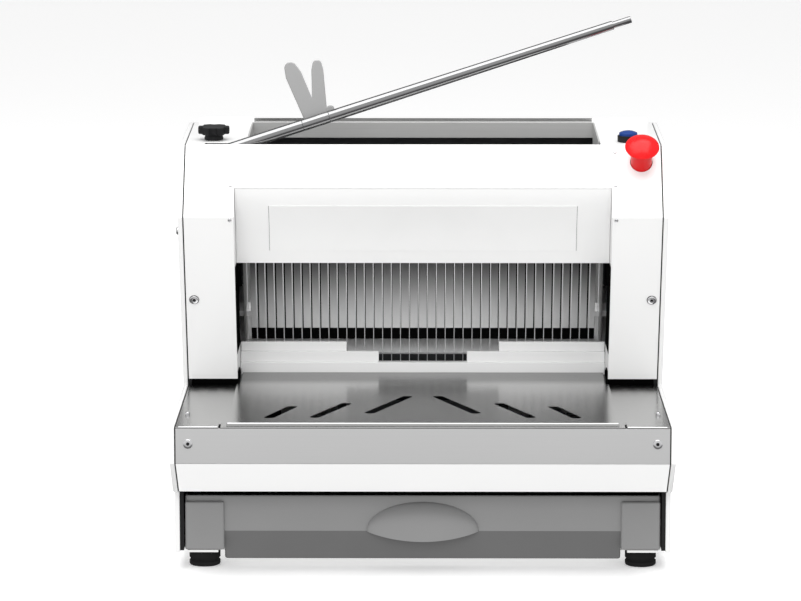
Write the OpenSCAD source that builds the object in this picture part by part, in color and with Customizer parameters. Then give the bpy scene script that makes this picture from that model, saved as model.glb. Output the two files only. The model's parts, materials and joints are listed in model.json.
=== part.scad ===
// Table-top bread slicer. Two opposed frames of upright blades stand behind a sloping front, under a
// loading hopper with a hand lever. Slices come out over a table with a crumb plate and a crumb drawer.
// Depths are counted back from the table's front edge, heights up from the floor, widths from the middle.

/* [Overall] */
// Width over the two side covers
body_w = 632; // [600:1:680]
// Depth from the table's front edge to the rear cover
body_d = 705; // [690:1:780]
// Thickness of a side cover at its rim
cover_t = 6; // [4:0.5:9]
// Thickness of a side cover's skin inside the rim
cover_skin = 2; // [1:0.25:3]
// Width of a side cover's rim
cover_rim = 12; // [8:1:20]
// Thickness of the bent sheet panels
sheet_t = 2; // [1:0.25:3]
// Thickness of the two frame plates
frame_t = 5; // [4:0.5:8]
// Gap at each end of the panels between the side covers
panel_gap = 1.5; // [0.3:0.1:2]

/* [Side profile] */
// Height of the delivery table's top
table_z = 204; // [196:1:230]
// Height of the steel apron's lower edge
apron_z = 157; // [140:1:170]
// Run back of the slanting lower apron
apron_run = 64; // [45:1:80]
// Height of the lower apron's lower edge
lower_apron_z = 108.5; // [104:0.5:125]
// Setback of the plinth behind the table's front edge
plinth_set = 97; // [85:1:100]
// Height of the plinth's top
plinth_z = 100; // [98:0.5:103]
// Height of the side covers' lower edge
cover_z = 22.5; // [21:0.5:35]
// Depth of the tower from its foot to the rear
tower_d = 415; // [400:1:430]
// Height of the tower's foot
tower_foot_z = 213; // [210:1:225]
// Lead of the crease in front of the tower's foot
crease_off = 90; // [80:1:95]
// Height of the crease
crease_z = 440; // [430:1:450]
// Lead of the brow in front of the tower's foot
brow_off = 25; // [22:0.5:30]
// Height of the brow
brow_z = 527; // [525:1:540]
// Distance of the ridge behind the tower's foot
ridge_off = 175; // [165:1:190]
// Height of the ridge
ridge_z = 534; // [530:1:550]
// Height of the top at the rear
rear_z = 506; // [495:1:520]

/* [Front cover] */
// Width of the machine beside the opening
pillar_w = 72; // [70:1:76]
// Length of the hem at the brow
brow_hem = 3; // [2:0.5:4]
// Gap between the guard plate's ends and the pillars
guard_gap = 0.3; // [0.2:0.1:1]
// Lead of the guard's upper bend in front of the tower's foot
guard_bend_off = 58; // [54:0.5:60]
// Height of the guard's upper bend
guard_bend_z = 451; // [448:0.5:456]
// Lead of the guard's lower bend in front of the tower's foot
guard_knee_off = 36; // [30:0.5:42]
// Height of the guard's lower bend
guard_knee_z = 422; // [416:0.5:428]
// Lead of the guard's lower edge in front of the tower's foot
guard_edge_off = 20; // [14:0.5:26]
// Height of the guard's lower edge
guard_edge_z = 370.5; // [362:0.5:380]
// Distance from the pillars' inner walls to the middle of the blades
cheek_clear = 24; // [23:0.5:30]

/* [Hopper and deck] */
// Width of the machine beside the hopper's opening
hopper_inset = 85; // [81:1:96]
// Height of the hopper liner's rear wall
hopper_rear_h = 21; // [15:0.5:30]
// Height of the hopper liner's side walls' lower edge
hopper_low_z = 480; // [476:1:500]
// Distance of the hopper liner's front ends behind the brow
hopper_front_off = 29; // [25:1:55]
// Width of the machine beside the rear lid
lid_inset = 88; // [66:1:116]
// Thickness of the rear lid
lid_t = 1; // [0.8:0.1:2]
// Margin of the rear lid to the ridge and the rear edge
lid_margin = 5; // [3:0.5:12]

/* [Delivery table] */
// Gap between the table's rear edge and the middle of the blades
table_off = 17; // [15:0.5:19]
// Lap of the table under the crumb plate beside the opening
crumb_hole_lap = 9; // [7:0.5:34]
// Margin of the crumb opening at the table's front and rear
crumb_hole_margin = 30; // [20:1:50]
// Reach of the crumb plate past the opening in front of the tower
crumb_plate_out = 1; // [0.5:0.5:6]
// Height of the crumb plate above the table
crumb_plate_h = 4; // [3:0.5:6]
// Wall of the crumb plate's top and rims
crumb_plate_t = 1; // [1:0.25:2]
// Gap round the crumb plate to the rail, the pillars and the front edge
crumb_plate_gap = 3; // [2:0.5:4]
// Width of the two notches in the table's front edge
notch_w = 2; // [1.5:0.5:6]
// Depth of those notches
notch_d = 22; // [15:1:28]
// Distance of the notches outside the crumb plate
notch_off = 7.5; // [4:0.5:10]
// Width of the slots in the crumb plate
slot_w = 13; // [4:0.5:14]

/* [Stepped rail] */
// Gap between the rail's rear face and the middle of the blades
rail_off = 19; // [18.5:0.25:20]
// Depth of the lower strip
rail_lower_d = 14; // [12:0.5:15]
// Each strip's step back from the strip below it
rail_step = 3; // [2:0.25:3.5]
// Height of the lower strip
rail_lower_h = 17; // [15:0.5:18]
// Height of the middle strip
rail_middle_h = 14.5; // [12:0.5:16]
// Height of the upper strip
rail_upper_h = 12.5; // [10:0.5:14]
// Width of the middle strip's gap
rail_middle_gap = 118; // [100:1:140]
// Width of the upper strip's gap
rail_upper_gap = 204; // [180:1:230]

/* [Base and feet] */
// Height of a foot
foot_h = 20; // [18:0.5:22]
// Diameter of a foot
foot_d = 40; // [30:1:44]
// Diameter of a foot's stud
foot_stud_d = 8; // [6:0.5:10]
// Length of a foot's stud above the foot
foot_stud_h = 6; // [4:0.5:6.5]
// Distance of the feet from the machine's sides
foot_inset = 36; // [35:1:46]
// Distance of the front feet behind the plinth
foot_front = 34; // [30:1:40]
// Distance of the rear feet from the rear
foot_rear = 40; // [30:1:60]
// Thickness of the base plate
base_t = 3; // [2:0.25:4]
// Setback of the base plate behind the plinth
base_setback = 27; // [26.5:0.5:29]
// Height of the base plate's side flanges
base_flange_h = 40; // [30:1:60]
// Diameter of the tie bars
tie_d = 16; // [10:1:20]
// Distance of the tie bars from the panels
tie_inset = 40; // [30:1:44]

/* [Crumb drawer] */
// Setback of the drawer's face behind the plinth
drawer_set = 8; // [6:0.5:10]
// Thickness of the drawer front
drawer_front_t = 18; // [16:0.5:18.5]
// Height of the drawer's top edge
drawer_top_z = 96; // [92:0.5:97]
// Height of the break across the drawer's face
drawer_break_z = 49; // [44:1:60]
// Height of the drawer's lower edge
drawer_low_z = 10; // [9:0.5:14]
// Run back of the face below the break
drawer_rake = 11; // [8:0.5:12]
// Width of the moulded end blocks
drawer_end_w = 50; // [48:1:54]
// Stand-out of the end blocks
drawer_end_out = 5; // [2:0.5:6]
// Height of the end blocks' lower edge
drawer_end_z = 25; // [24:0.5:34]
// Height of the plain band above the end blocks
drawer_band = 8; // [5:0.5:12]
// Width of the cup handle
handle_w = 144; // [110:1:180]
// Stand-out of the cup handle
handle_out = 19; // [14:0.5:22]
// Height of the cup handle above its ends
handle_h = 38; // [28:0.5:42]
// Wall of the cup handle
handle_t = 3.5; // [2.5:0.25:5]
// Drop of the cup handle's lip in its middle
handle_drop = 11; // [8:0.5:20]
// Gap between the crumb tray and the drawer front's ends
tray_inset = 16.5; // [12.5:0.5:34.5]
// Gap between the crumb tray's rear and the middle of the blades
tray_off = 47; // [37:1:82]
// Height of the crumb tray's walls
tray_h = 60; // [40:1:62]
// Wall of the crumb tray
tray_t = 1.5; // [1:0.25:2]
// Width of a drawer runner
runner_w = 18; // [12:0.5:24]
// Height of a drawer runner
runner_h = 4; // [3:0.25:5]
// Running gap of the drawer
drawer_gap = 0.3; // [0.2:0.05:0.5]

/* [Blades] */
// Lean of the blades from upright
blade_tilt = 21.6; // [20.5:0.1:22.5]
// Distance of the blades at the chute floor behind the tower's foot
blade_off = 115; // [114:0.25:120]
// Height of the chute floor at the blades above the table
blade_rise = 21; // [19:0.5:23]
// Least width of the opening that is left beside the blades
blade_margin = 8; // [8:1:40]
// Distance between blades, the thickness of a slice
blade_pitch = 12; // [9:0.25:12]
// Width of a blade
blade_w = 11; // [9:0.25:12]
// Thickness of a blade
blade_t = 0.8; // [0.5:0.1:1.2]
// Set of the blades of the two frames against each other
blade_set = 1; // [0.6:0.1:1.5]
// Height of the upper beams' top above the chute floor
blade_top = 245; // [235:1:248]
// Depth of the lower beams' underside below the chute floor
blade_low = 60; // [55:1:64]
// Height of a beam
beam_h = 30; // [20:1:32]
// Thickness of a beam
beam_t = 12; // [10:0.5:13]
// Width of a frame's side post
post_w = 12; // [9:0.5:13]
// Distance of a blade frame's posts inside the guide rods
frame_inset = 22; // [20:0.5:24]
// Stroke of a frame each way from the middle, the throw of the eccentrics
stroke = 8; // [5:0.5:8]

/* [Guides] */
// Distance of the guide rods from the frame plates
guide_inset = 21; // [18:0.5:23]
// Diameter of the guide rods
guide_d = 12; // [10:0.5:13]
// Outer diameter of the guide bosses
boss_d = 20; // [18:0.5:21]
// Distance of the guide rods from the middle of the blades
guide_off = 13; // [12:0.25:14]
// Height of a guide block
guide_block_h = 18; // [12:0.5:20]
// Depth of a guide block
guide_block_d = 52; // [46:1:54]
// Clear height between a guide block and a frame at mid stroke
guide_clear = 15; // [12:0.5:16]

/* [Drive] */
// Radius of an eccentric
eccentric_r = 18; // [17:0.25:18.5]
// Inner radius of a connecting rod's ring
ring_r = 36; // [35.5:0.5:40]
// Wall of a connecting rod's ring
ring_t = 8; // [6:0.5:9]
// Thickness of a connecting rod
con_t = 12; // [8:0.5:14]
// Width of a connecting rod's shank
con_w = 10; // [8:0.5:12]
// Distance of the front frame's rods from the pulleys
con_front_off = 46; // [40:1:50]
// Distance of the rear frame's rods from the front frame's rods
con_rear_off = 40; // [36:1:60]
// Diameter of the crankshaft
crank_d = 24; // [18:1:24]
// Distance of the bearing blocks from the frame plates
bearing_inset = 56; // [51:1:65]
// Thickness of a bearing block
bearing_t = 18; // [12:1:22]
// Wall of a bearing block round the shaft
bearing_wall = 14; // [10:0.5:16]
// Outer radius of the crank pulley
pulley_r = 44; // [40:0.5:46]
// Outer radius of the motor pulley
motor_pulley_r = 22; // [20:0.5:26]
// Thickness of the pulleys
pulley_t = 18; // [16:0.5:22]
// Distance of the pulleys from the bearing blocks
pulley_off = 53; // [45:1:59]
// Depth of the pulley grooves
groove_d = 8; // [6:0.5:9]
// Width of the pulley grooves at the rim
groove_w = 13; // [12:0.5:14]
// Width of the pulley grooves at the bottom
groove_low_w = 9; // [8.5:0.25:10]
// Thickness of the belt
belt_t = 7; // [5:0.5:7.5]
// Width of the belt
belt_w = 8; // [6:0.5:8]
// Gap between the belt and the groove's bottom
belt_gap = 0.5; // [0.3:0.1:0.8]
// Distance of the motor's axis from the rear cover
motor_back = 83; // [74:1:89]
// Radius of the motor
motor_r = 48; // [40:1:50]
// Gap between the motor and the nearest connecting rod
motor_gap = 9; // [5:1:20]
// Length of the motor
motor_len = 190; // [150:1:200]
// Length of the motor's ends past its foot
motor_end = 30; // [20:1:40]
// Diameter of the motor shaft
motor_shaft_d = 18; // [14:1:20]
// Height of the motor's axis above its mount
motor_seat = 54; // [52:0.5:58]
// Width of the motor's foot
motor_foot_w = 90; // [70:1:100]
// Thickness of the motor mount
mount_t = 6; // [4:0.5:8]
// Margin of the motor mount round the motor's foot
mount_margin = 8; // [6:0.5:12]

/* [Chute and pusher] */
// Gap from the middle of the blades to the chute floor's front edge
chute_gap = 8; // [7.5:0.25:9]
// Depth of the chute floor along its slope
chute_d = 190; // [186:1:200]
// Thickness of the chute floor
chute_t = 3; // [2:0.25:4]
// Depth of the chute floor's narrow front
chute_nose = 28; // [26:0.5:30]
// Distance of the chute sides inside the opening
chute_inset = 6; // [5:0.25:7]
// Thickness of a chute side
chute_side_t = 3; // [2:0.25:4]
// Height of the chute sides
chute_side_h = 210; // [180:1:214]
// Distance from the middle of the blades to the pusher at rest
pusher_off = 42; // [40:0.5:44]
// Thickness of the pusher plate
pusher_t = 2; // [1.5:0.25:3]
// Gap between the pusher plate and the chute sides
pusher_margin = 6; // [5:0.5:28]
// Gap under the pusher plate
pusher_gap = 15; // [10:0.5:20]
// Height of the pusher plate's top
pusher_top = 200; // [160:1:205]
// Gap behind the pusher's bushes at the end of their travel, to the chute floor's rear edge
pusher_spare = 24; // [20:1:44]
// Height of the pusher's guide rods above the chute floor
pusher_rod_h = 40; // [36:0.5:44]
// Distance of the pusher's guide rods outside the chute sides
pusher_rod_off = 24; // [22:0.5:26]
// Diameter of the pusher's guide rods
pusher_rod_d = 12; // [10:0.5:13]
// Outer diameter of the pusher's bushes
bush_d = 20; // [18:0.5:22]
// Length of the pusher's bushes
bush_len = 24; // [18:1:26]
// Thickness of the pusher's lugs
lug_t = 8; // [6:0.5:9]
// Clearance of the lugs in the chute sides' slots
lug_clear = 2; // [1:0.25:3]
// Thickness of a rod bracket
bracket_t = 6; // [5:0.5:8]
// Width of a rod bracket
bracket_w = 22; // [20:1:26]

/* [Lever] */
// Distance of the lever's middle behind the brow
lever_off = 12; // [11.5:0.25:13]
// Distance of the lever's pivot from the left frame plate
pivot_inset = 31; // [29:0.5:35]
// Depth of the pivot under the brow
pivot_drop = 14.4; // [14:0.1:16]
// Rise of the lever above level at rest
lever_rise = 18; // [15:0.25:20]
// Length of the lever from the pivot to its stepped end
lever_len = 547; // [480:1:560]
// Diameter of the lever at the pivot
lever_d = 15.5; // [12:0.25:15.5]
// Diameter of the lever at its outer end
lever_tip_d = 12; // [9:0.25:13]
// Length of the stepped end
lever_step_len = 24.5; // [15:0.5:30]
// Diameter of the stepped end
lever_step_d = 9; // [6:0.25:9]
// Diameter of the hub
hub_d = 24; // [22:0.5:24]
// Length of the hub along the pin
hub_len = 52; // [50:0.5:54]
// Length of the hub in front of the lever's middle
hub_front = 9.5; // [9:0.25:10]
// Diameter of the pivot pin
pin_d = 10; // [8:0.25:10]
// Thickness of the lever bracket's cheeks
cheek_t = 4; // [3:0.25:4]
// Height of the lever bracket below the pivot
cheek_low = 12; // [10:0.5:12.5]
// Height of the lever bracket above the pivot
cheek_high = 6.6; // [6:0.1:7]
// Length of the lever bracket's cheeks past the pivot
cheek_past = 12; // [8:0.5:14]
// Side gap of the hub between the cheeks
hub_gap = 0.3; // [0.2:0.05:0.5]
// Width of the lever's slot in the deck
lever_slot_w = 18; // [17.5:0.25:18.5]
// Reach of the lever's slot to the left of the pivot
lever_slot_past = 10; // [9:0.5:14]

/* [Paddles] */
// Distance of the paddles' collar along the lever
collar_off = 142; // [110:1:180]
// Length of the collar
collar_len = 36; // [30:1:44]
// Outer diameter of the collar
collar_d = 15.5; // [13.5:0.25:15.5]
// Diameter of the lever's journal in the collar
journal_d = 10; // [8:0.25:11]
// End gap of the collar on its journal
collar_gap = 0.2; // [0.1:0.05:0.4]
// Stand-out of the collar's pad behind the lever
collar_pad = 0.5; // [0.4:0.1:1]
// Thickness of the paddles
paddle_t = 3; // [2:0.5:5]
// Distance of each paddle's root from the collar's middle
paddle_spread = 4.75; // [3:0.25:7]
// Half the width of a paddle's root
paddle_root = 10; // [7:0.5:11]
// Length of the left paddle from the lever's middle
left_paddle_len = 82; // [70:1:92]
// Radius of the left paddle's broad part
left_paddle_r = 10.7; // [8:0.1:13]
// Radius of the left paddle's tip
left_paddle_tip_r = 8; // [5:0.5:8]
// Lean of the left paddle from upright, to the left
left_paddle_lean = 23; // [15:1:30]
// Length of the right paddle from the lever's middle
right_paddle_len = 79; // [70:1:92]
// Radius of the right paddle's broad part
right_paddle_r = 7.8; // [7:0.1:12]
// Radius of the right paddle's tip
right_paddle_tip_r = 6; // [4:0.5:7]
// Lean of the right paddle from upright, to the left
right_paddle_lean = 3; // [-10:1:10]
// Radius of the round tab beside the paddles
tab_r = 5; // [4:0.25:7]
// Distance of the tab along the lever from the collar's middle
tab_off = 22; // [18:0.5:28]
// Height of the tab's middle above the lever's middle
tab_rise = 8.5; // [6:0.25:12]

/* [Controls] */
// Distance of the star knob behind the lever's middle
knob_back = 30; // [29.5:0.25:31]
// Diameter of the star knob
knob_d = 41; // [36:0.5:41]
// Height of the star knob's head
knob_head_h = 11.5; // [10:0.5:18]
// Height of the star knob's neck
knob_neck_h = 6.5; // [5:0.5:12]
// Diameter of the star knob's neck
knob_neck_d = 22; // [18:0.5:24]
// Number of the star knob's lobes
knob_lobes = 6; // [5:1:8]
// Gap between the star knob and the deck
knob_gap = 0.3; // [0.2:0.1:0.6]
// Diameter of the star knob's stud
knob_stud_d = 8; // [6:0.5:9]
// Gap between the stud's end and the lever's hub
knob_stud_gap = 0.4; // [0.2:0.1:0.6]
// Distance of the start button from the right frame plate
start_inset = 37; // [29:0.5:43]
// Distance of the start button behind the brow
start_off = 27; // [25:0.5:35]
// Diameter of the start button's body
start_d = 28; // [26:0.5:30]
// Height of the start button's body above the deck
start_h = 8.5; // [7:0.5:10]
// Depth of the start button's body below the deck
start_low = 24; // [18:1:26]
// Diameter of the start button's barrel below the deck
start_barrel_d = 22; // [20:0.5:24]
// Diameter of the start button's cap
start_cap_d = 24; // [20:0.5:24.5]
// Height of the cap's dome
start_dome = 3; // [2:0.25:4]
// Stand-out of the cap's side above the body
start_out = 3.4; // [3.2:0.1:5]
// Travel of the start button
start_travel = 3; // [2:0.25:3]
// Diameter of the start button's plunger
start_rod_d = 10; // [8:0.5:12]
// Distance of the stop button from the right frame plate
stop_inset = 22; // [20:0.5:23]
// Rise of the stop button's axis above level
stop_rise = 50; // [45:1:55]
// Diameter of the stop button's head
stop_head_d = 45; // [40:0.5:46]
// Diameter of the stop button's stem
stop_stem_d = 28; // [24:0.5:29]
// Height of the stem above the front cover
stop_stem_h = 20; // [16:0.5:22]
// Height of the flare from the stem to the head's rim
stop_flare_h = 8; // [6:0.5:10]
// Height of the head's crown above its rim
stop_crown = 8; // [6:0.5:10]
// Length of the stem inside the front cover
stop_sunk = 11; // [10.5:0.5:12]
// Diameter of the stop button's plunger
stop_rod_d = 10; // [8:0.5:12]
// Length of the stop switch behind the front cover
stop_switch_len = 28; // [26:0.5:28.5]
// Diameter of the stop switch
stop_switch_d = 34; // [33:0.5:35]
// Gap round the stop button's stem in the front cover
stop_gap = 0.5; // [0.3:0.1:1]
// Travel of the stop button
stop_travel = 5; // [3:0.5:5]

/* [Electrics] */
// Width of the control box
box_w = 70; // [50:1:90]
// Depth of the control box
box_d = 70; // [50:1:80]
// Gap between the control box and the chute floor's slope
box_gap = 12; // [5:0.5:30]
// Height of the control box above the motor's axis
box_rise = 98; // [95:1:110]
// Distance of the control box from the rear cover
box_back = 22; // [15:1:30]
// Distance of the power inlet from the left frame plate
inlet_inset = 85; // [65:1:105]
// Height of the power inlet
inlet_z = 100; // [80:1:110]
// Width of the power inlet's mouth
inlet_w = 26; // [24:0.5:30]
// Height of the power inlet's mouth
inlet_h = 19; // [17:0.5:24]
// Wall of the power inlet
inlet_wall = 5; // [4:0.5:8]
// Depth of the power inlet's mouth
inlet_d = 18; // [14:0.5:22]
// Number of rows of vents
vent_rows = 7; // [3:1:8]
// Length of a vent
vent_len = 90; // [60:1:110]
// Height of a vent
vent_h = 5; // [4:0.5:7]
// Distance between rows of vents
vent_pitch = 16; // [12:0.5:18]
// Height of the lowest vents
vent_z = 250; // [230:1:280]
// Distance of the vents from the middle
vent_x = 120; // [100:1:140]

/* [Fasteners] */
// Diameter of the pillar and apron screws' heads
screw_d = 12; // [7:0.5:14]
// Height of the pillar screws' heads
screw_h = 2.5; // [1.5:0.25:4]
// Height of the apron screws' heads
apron_screw_h = 2; // [1:0.25:3]
// Diameter of the small screws' heads
small_screw_d = 5; // [4:0.25:7]
// Height of the small screws' heads
small_screw_h = 1.5; // [1:0.25:2.5]
// Diameter of the table pins
table_pin_d = 6; // [5:0.5:8]
// Distance of the table pins behind the table's front edge
table_pin_back = 82; // [60:1:110]
// Height of the table pins
table_pin_h = 4; // [2:0.5:6]
// Distance of the pillar screws from the side covers
screw_inset = 12; // [10:0.5:20]
// Distance of the apron screws from the side covers
apron_screw_inset = 17; // [12:0.5:22]
// Diameter of the side covers' bolts
bolt_d = 10; // [8:0.5:13]
// Height of the side covers' bolts
bolt_h = 3; // [2:0.25:5]

/* [Hidden] */
$fn = 64;

// Overrun of every cut past the face that it opens
overrun = 1;
// Radial clearance of a running fit
run_gap = 0.05;
// Radial clearance of a fixed fit
seat_gap = 0.02;
// Length that stands for no end when a region is clipped
far = 1000;

// Widths counted from the middle
half_w = body_w / 2;
wall_x = half_w - cover_t;
plate_x = wall_x - frame_t;
panel_x = wall_x - panel_gap;
inner_x = plate_x - panel_gap;
window_x = half_w - pillar_w;
hopper_x = half_w - hopper_inset;
lid_x = half_w - lid_inset;
crumb_hole_x = window_x - crumb_hole_lap;
crumb_plate_x = window_x + crumb_plate_out;
tray_x = inner_x - tray_inset;
guide_x = plate_x - guide_inset;
frame_half = guide_x - frame_inset;
bearing_x = plate_x - bearing_inset;
pulley_x = bearing_x - pulley_off;
con_front_x = pulley_x - con_front_off;
con_rear_x = con_front_x - con_rear_off;
chute_half = window_x - chute_inset;
pusher_x = chute_half - pusher_margin;
pusher_rod_x = chute_half + pusher_rod_off;
pivot_x = plate_x - pivot_inset;
start_x = plate_x - start_inset;
stop_x = plate_x - stop_inset;
inlet_x = plate_x - inlet_inset;
blade_count = 2 * floor((window_x - blade_margin / 2) / blade_pitch);

// Depths counted back from the table's front edge
tower_foot_u = body_d - tower_d;
crease_u = tower_foot_u - crease_off;
brow_u = tower_foot_u - brow_off;
ridge_u = tower_foot_u + ridge_off;
blade_u = tower_foot_u + blade_off;
hopper_front_u = brow_u + hopper_front_off;
lever_u = brow_u + lever_off;
start_u = brow_u + start_off;
rail_rear_u = blade_u - rail_off;

// Heights of the base
base_z = foot_h;
base_top = base_z + base_t;
base_u = plinth_set + base_setback;
base_end = body_d - sheet_t;

// Side profile
leg_lean = (tower_foot_u - crease_u) / (crease_z - tower_foot_z);
tower_base_u = tower_foot_u + (tower_foot_z - table_z) * leg_lean;
outline = [
    [plinth_set, cover_z],
    [body_d, cover_z],
    [body_d, rear_z],
    [ridge_u, ridge_z],
    [brow_u, brow_z],
    [crease_u, crease_z],
    [tower_base_u, table_z],
    [0, table_z],
    [0, apron_z],
    [apron_run, lower_apron_z],
    [plinth_set, plinth_z]
];

// Geometry of outlines in the side view
function unit(v) = v / norm(v);
function left_of(v) = [-v[1], v[0]];
function mitre(a, b) = (a + b) / (1 + a * b);
function edge_normal(p, i, j) = left_of(unit(p[j] - p[i]));
function inset(p, t) = [
    for (i = [0 : len(p) - 1])
        let (n = len(p), back = (i + n - 1) % n, next = (i + 1) % n)
            p[i] + t * mitre(edge_normal(p, back, i), edge_normal(p, i, next))
];
function shifted(p, t) = [
    for (i = [0 : len(p) - 1])
        let (a = edge_normal(p, max(i - 1, 0), max(i, 1)),
             b = edge_normal(p, min(i, len(p) - 2), min(i + 1, len(p) - 1)))
            p[i] + t * mitre(a, b)
];
function reversed(p) = [for (i = [len(p) - 1 : -1 : 0]) p[i]];
function bent(p, t) = concat(p, reversed(shifted(p, t)));
function between(a, b, share) = a + share * (b - a);
function arc(c, r, from, to, steps) = [
    for (i = [0 : steps]) let (a = from + (to - from) * i / steps) c + r * [cos(a), sin(a)]
];

// Points on the front and the deck
brow = [brow_u, brow_z];
crease = [crease_u, crease_z];
tower_foot = [tower_foot_u, tower_foot_z];
ridge = [ridge_u, ridge_z];
face_normal = left_of(unit(crease - brow));
window_top_share = 0.4;
guard_flange_share = 0.53;
stop_share = 0.765;
window_top = between(crease, brow, window_top_share);
stop_base = between(crease, brow, stop_share);
deck_slope = atan2(ridge_z - brow_z, ridge_u - brow_u);
function deck_z(u) = brow_z + (u - brow_u) * tan(deck_slope);

// Places along the blades: n counts back from them and w up along them, from the chute floor
blade_z = table_z + blade_rise;
blade_n = blade_w / 2;
beam_n = blade_n + blade_set / 2;
crank_z = base_top + ring_r + ring_t + stroke;
crank_w = (crank_z - blade_z) / cos(blade_tilt);
crank_u = blade_u - crank_w * sin(blade_tilt);
function plane_u(n, z) = blade_u + (n - (z - blade_z) * sin(blade_tilt)) / cos(blade_tilt);
guide_top_w = blade_top + guide_clear;
guide_low_w = -blade_low - guide_clear;

// Places of the drive
motor_u = base_end - motor_back;
motor_z = base_top + mount_t + motor_seat;
motor_end_x = con_rear_x - con_t / 2 - motor_gap;

// Places of the drawer
drawer_u = plinth_set + drawer_set;
drawer_back_u = drawer_u + drawer_front_t;
tray_back_u = blade_u - tray_off;
tray_z = base_top + runner_h + drawer_gap;

// Places of the lever
pivot_z = brow_z - pivot_drop;
hub_u = lever_u - hub_front;
hub_end_u = hub_u + hub_len;
knob_u = lever_u + knob_back;
journal_start = collar_off - collar_len / 2 - collar_gap;
journal_end = collar_off + collar_len / 2 + collar_gap;
bar_seat = pin_d / 2 + overrun;
paddle_back = max(collar_d, lever_d) / 2 + collar_pad;

// Placing and extruding
module from_front() {
    translate([0, (apron_screw_h - body_d) / 2, 0]) children();
}
module along_x(from, to) {
    translate([from, 0, 0]) rotate([90, 0, 90]) linear_extrude(to - from) children();
}
module both_sides() {
    children();
    mirror([1, 0, 0]) children();
}
module block(low, high) {
    translate(low) cube(high - low);
}
module on_blades() {
    from_front() translate([0, blade_u, blade_z]) rotate([blade_tilt, 0, 0]) children();
}
module bar_along_x(from, to, r) {
    translate([from, 0, 0]) rotate([0, 90, 0]) cylinder(r = r, h = to - from);
}
module bar_along_y(from, to, r) {
    translate([0, from, 0]) rotate([-90, 0, 0]) cylinder(r = r, h = to - from);
}
module at_crank() {
    from_front() translate([0, crank_u, crank_z]) rotate([blade_tilt, 0, 0]) children();
}
module at_motor() {
    from_front() translate([0, motor_u, motor_z]) children();
}
module at_lever() {
    from_front() translate([-pivot_x, lever_u, pivot_z]) rotate([0, -lever_rise, 0]) children();
}
module at_start() {
    from_front() translate([start_x, start_u, deck_z(start_u)]) rotate([deck_slope, 0, 0]) children();
}
module at_knob() {
    from_front() translate([-pivot_x, knob_u, deck_z(knob_u)]) rotate([deck_slope, 0, 0]) children();
}
module at_stop() {
    from_front() translate([stop_x, stop_base[0], stop_base[1]]) rotate([90 - stop_rise, 0, 0]) children();
}
module each_foot() {
    for (u = [plinth_set + foot_front, body_d - foot_rear])
        both_sides() from_front() translate([half_w - foot_inset, u, 0]) children();
}

// Base and frame
module base_plate() {
    color("white") difference() {
        from_front() {
            block([-plate_x, base_u, base_z], [plate_x, base_end, base_top]);
            both_sides()
                block([plate_x - base_t, base_u, base_z], [plate_x, base_end, base_z + base_flange_h]);
        }
        stud_holes();
    }
}
module stud_holes() {
    each_foot() translate([0, 0, base_z - overrun])
        cylinder(d = foot_stud_d + 2 * seat_gap, h = foot_stud_h + 2 * overrun);
}
module feet() {
    color("black") each_foot() {
        cylinder(d = foot_d, h = foot_h);
        cylinder(d = foot_stud_d, h = foot_h + foot_stud_h);
    }
}
module frame_plate() {
    from_front() along_x(plate_x, wall_x) polygon(inset(outline, sheet_t));
}
module left_frame() {
    color("gray") mirror([1, 0, 0]) frame_plate();
}
module right_frame() {
    color("gray") frame_plate();
}
module tie_bars() {
    places = [
        [tie_inset, apron_z + tie_d],
        [body_d - tie_inset, rear_z - tie_inset],
        [body_d - tie_inset, motor_z + box_rise - tie_d]
    ];
    color("silver") from_front() for (p = places)
        translate([0, p[0], p[1]]) bar_along_x(-plate_x, plate_x, tie_d / 2);
}

// Covers and panels
module side_cover() {
    difference() {
        from_front() along_x(wall_x, half_w) polygon(outline);
        from_front() along_x(wall_x - overrun, half_w - cover_skin) polygon(inset(outline, cover_rim));
    }
}
module left_side_cover() {
    color("whitesmoke") mirror([1, 0, 0]) side_cover();
}
module right_side_cover() {
    color("whitesmoke") side_cover();
}
module front_cover() {
    skin = [[brow_u + brow_hem, brow_z], brow, crease, tower_foot];
    cheek = [
        window_top,
        crease,
        tower_foot,
        [plane_u(-cheek_clear, tower_foot_z), tower_foot_z],
        [plane_u(-cheek_clear, window_top[1]), window_top[1]]
    ];
    color("white") difference() {
        union() {
            difference() {
                from_front() along_x(-panel_x, panel_x) polygon(bent(skin, sheet_t));
                from_front() block([-window_x, 0, 0], [window_x, body_d, window_top[1]]);
            }
            both_sides() from_front() along_x(window_x, window_x + sheet_t) polygon(cheek);
        }
        at_stop() translate([0, 0, -stop_stem_d])
            cylinder(d = stop_stem_d + 2 * stop_gap, h = 2 * stop_stem_d);
    }
}
module guard_plate() {
    line = [
        between(crease, brow, guard_flange_share) + sheet_t * face_normal,
        window_top + sheet_t * face_normal,
        [tower_foot_u - guard_bend_off, guard_bend_z],
        [tower_foot_u - guard_knee_off, guard_knee_z],
        [tower_foot_u - guard_edge_off, guard_edge_z]
    ];
    end_x = window_x - guard_gap;
    color("lightgray") from_front() along_x(-end_x, end_x) polygon(bent(line, sheet_t));
}
module top_deck() {
    rear_share = (base_end - ridge_u) / (body_d - ridge_u);
    front_u = brow_u + brow_hem + panel_gap;
    skin = [between(ridge, [body_d, rear_z], rear_share), ridge, [front_u, deck_z(front_u)]];
    color("white") difference() {
        from_front() along_x(-panel_x, panel_x) polygon(bent(skin, sheet_t));
        from_front() block([-hopper_x, 0, 0], [hopper_x, ridge_u, far]);
        from_front() block([-pivot_x - lever_slot_past, 0, 0],
                           [-hopper_x + overrun, lever_u + lever_slot_w / 2, far]);
        at_knob() translate([0, 0, -knob_d])
            cylinder(d = knob_stud_d + 2 * run_gap, h = 2 * knob_d);
        at_start() translate([0, 0, -start_low])
            cylinder(d = start_barrel_d + 2 * seat_gap, h = 2 * start_low);
    }
}
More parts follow.
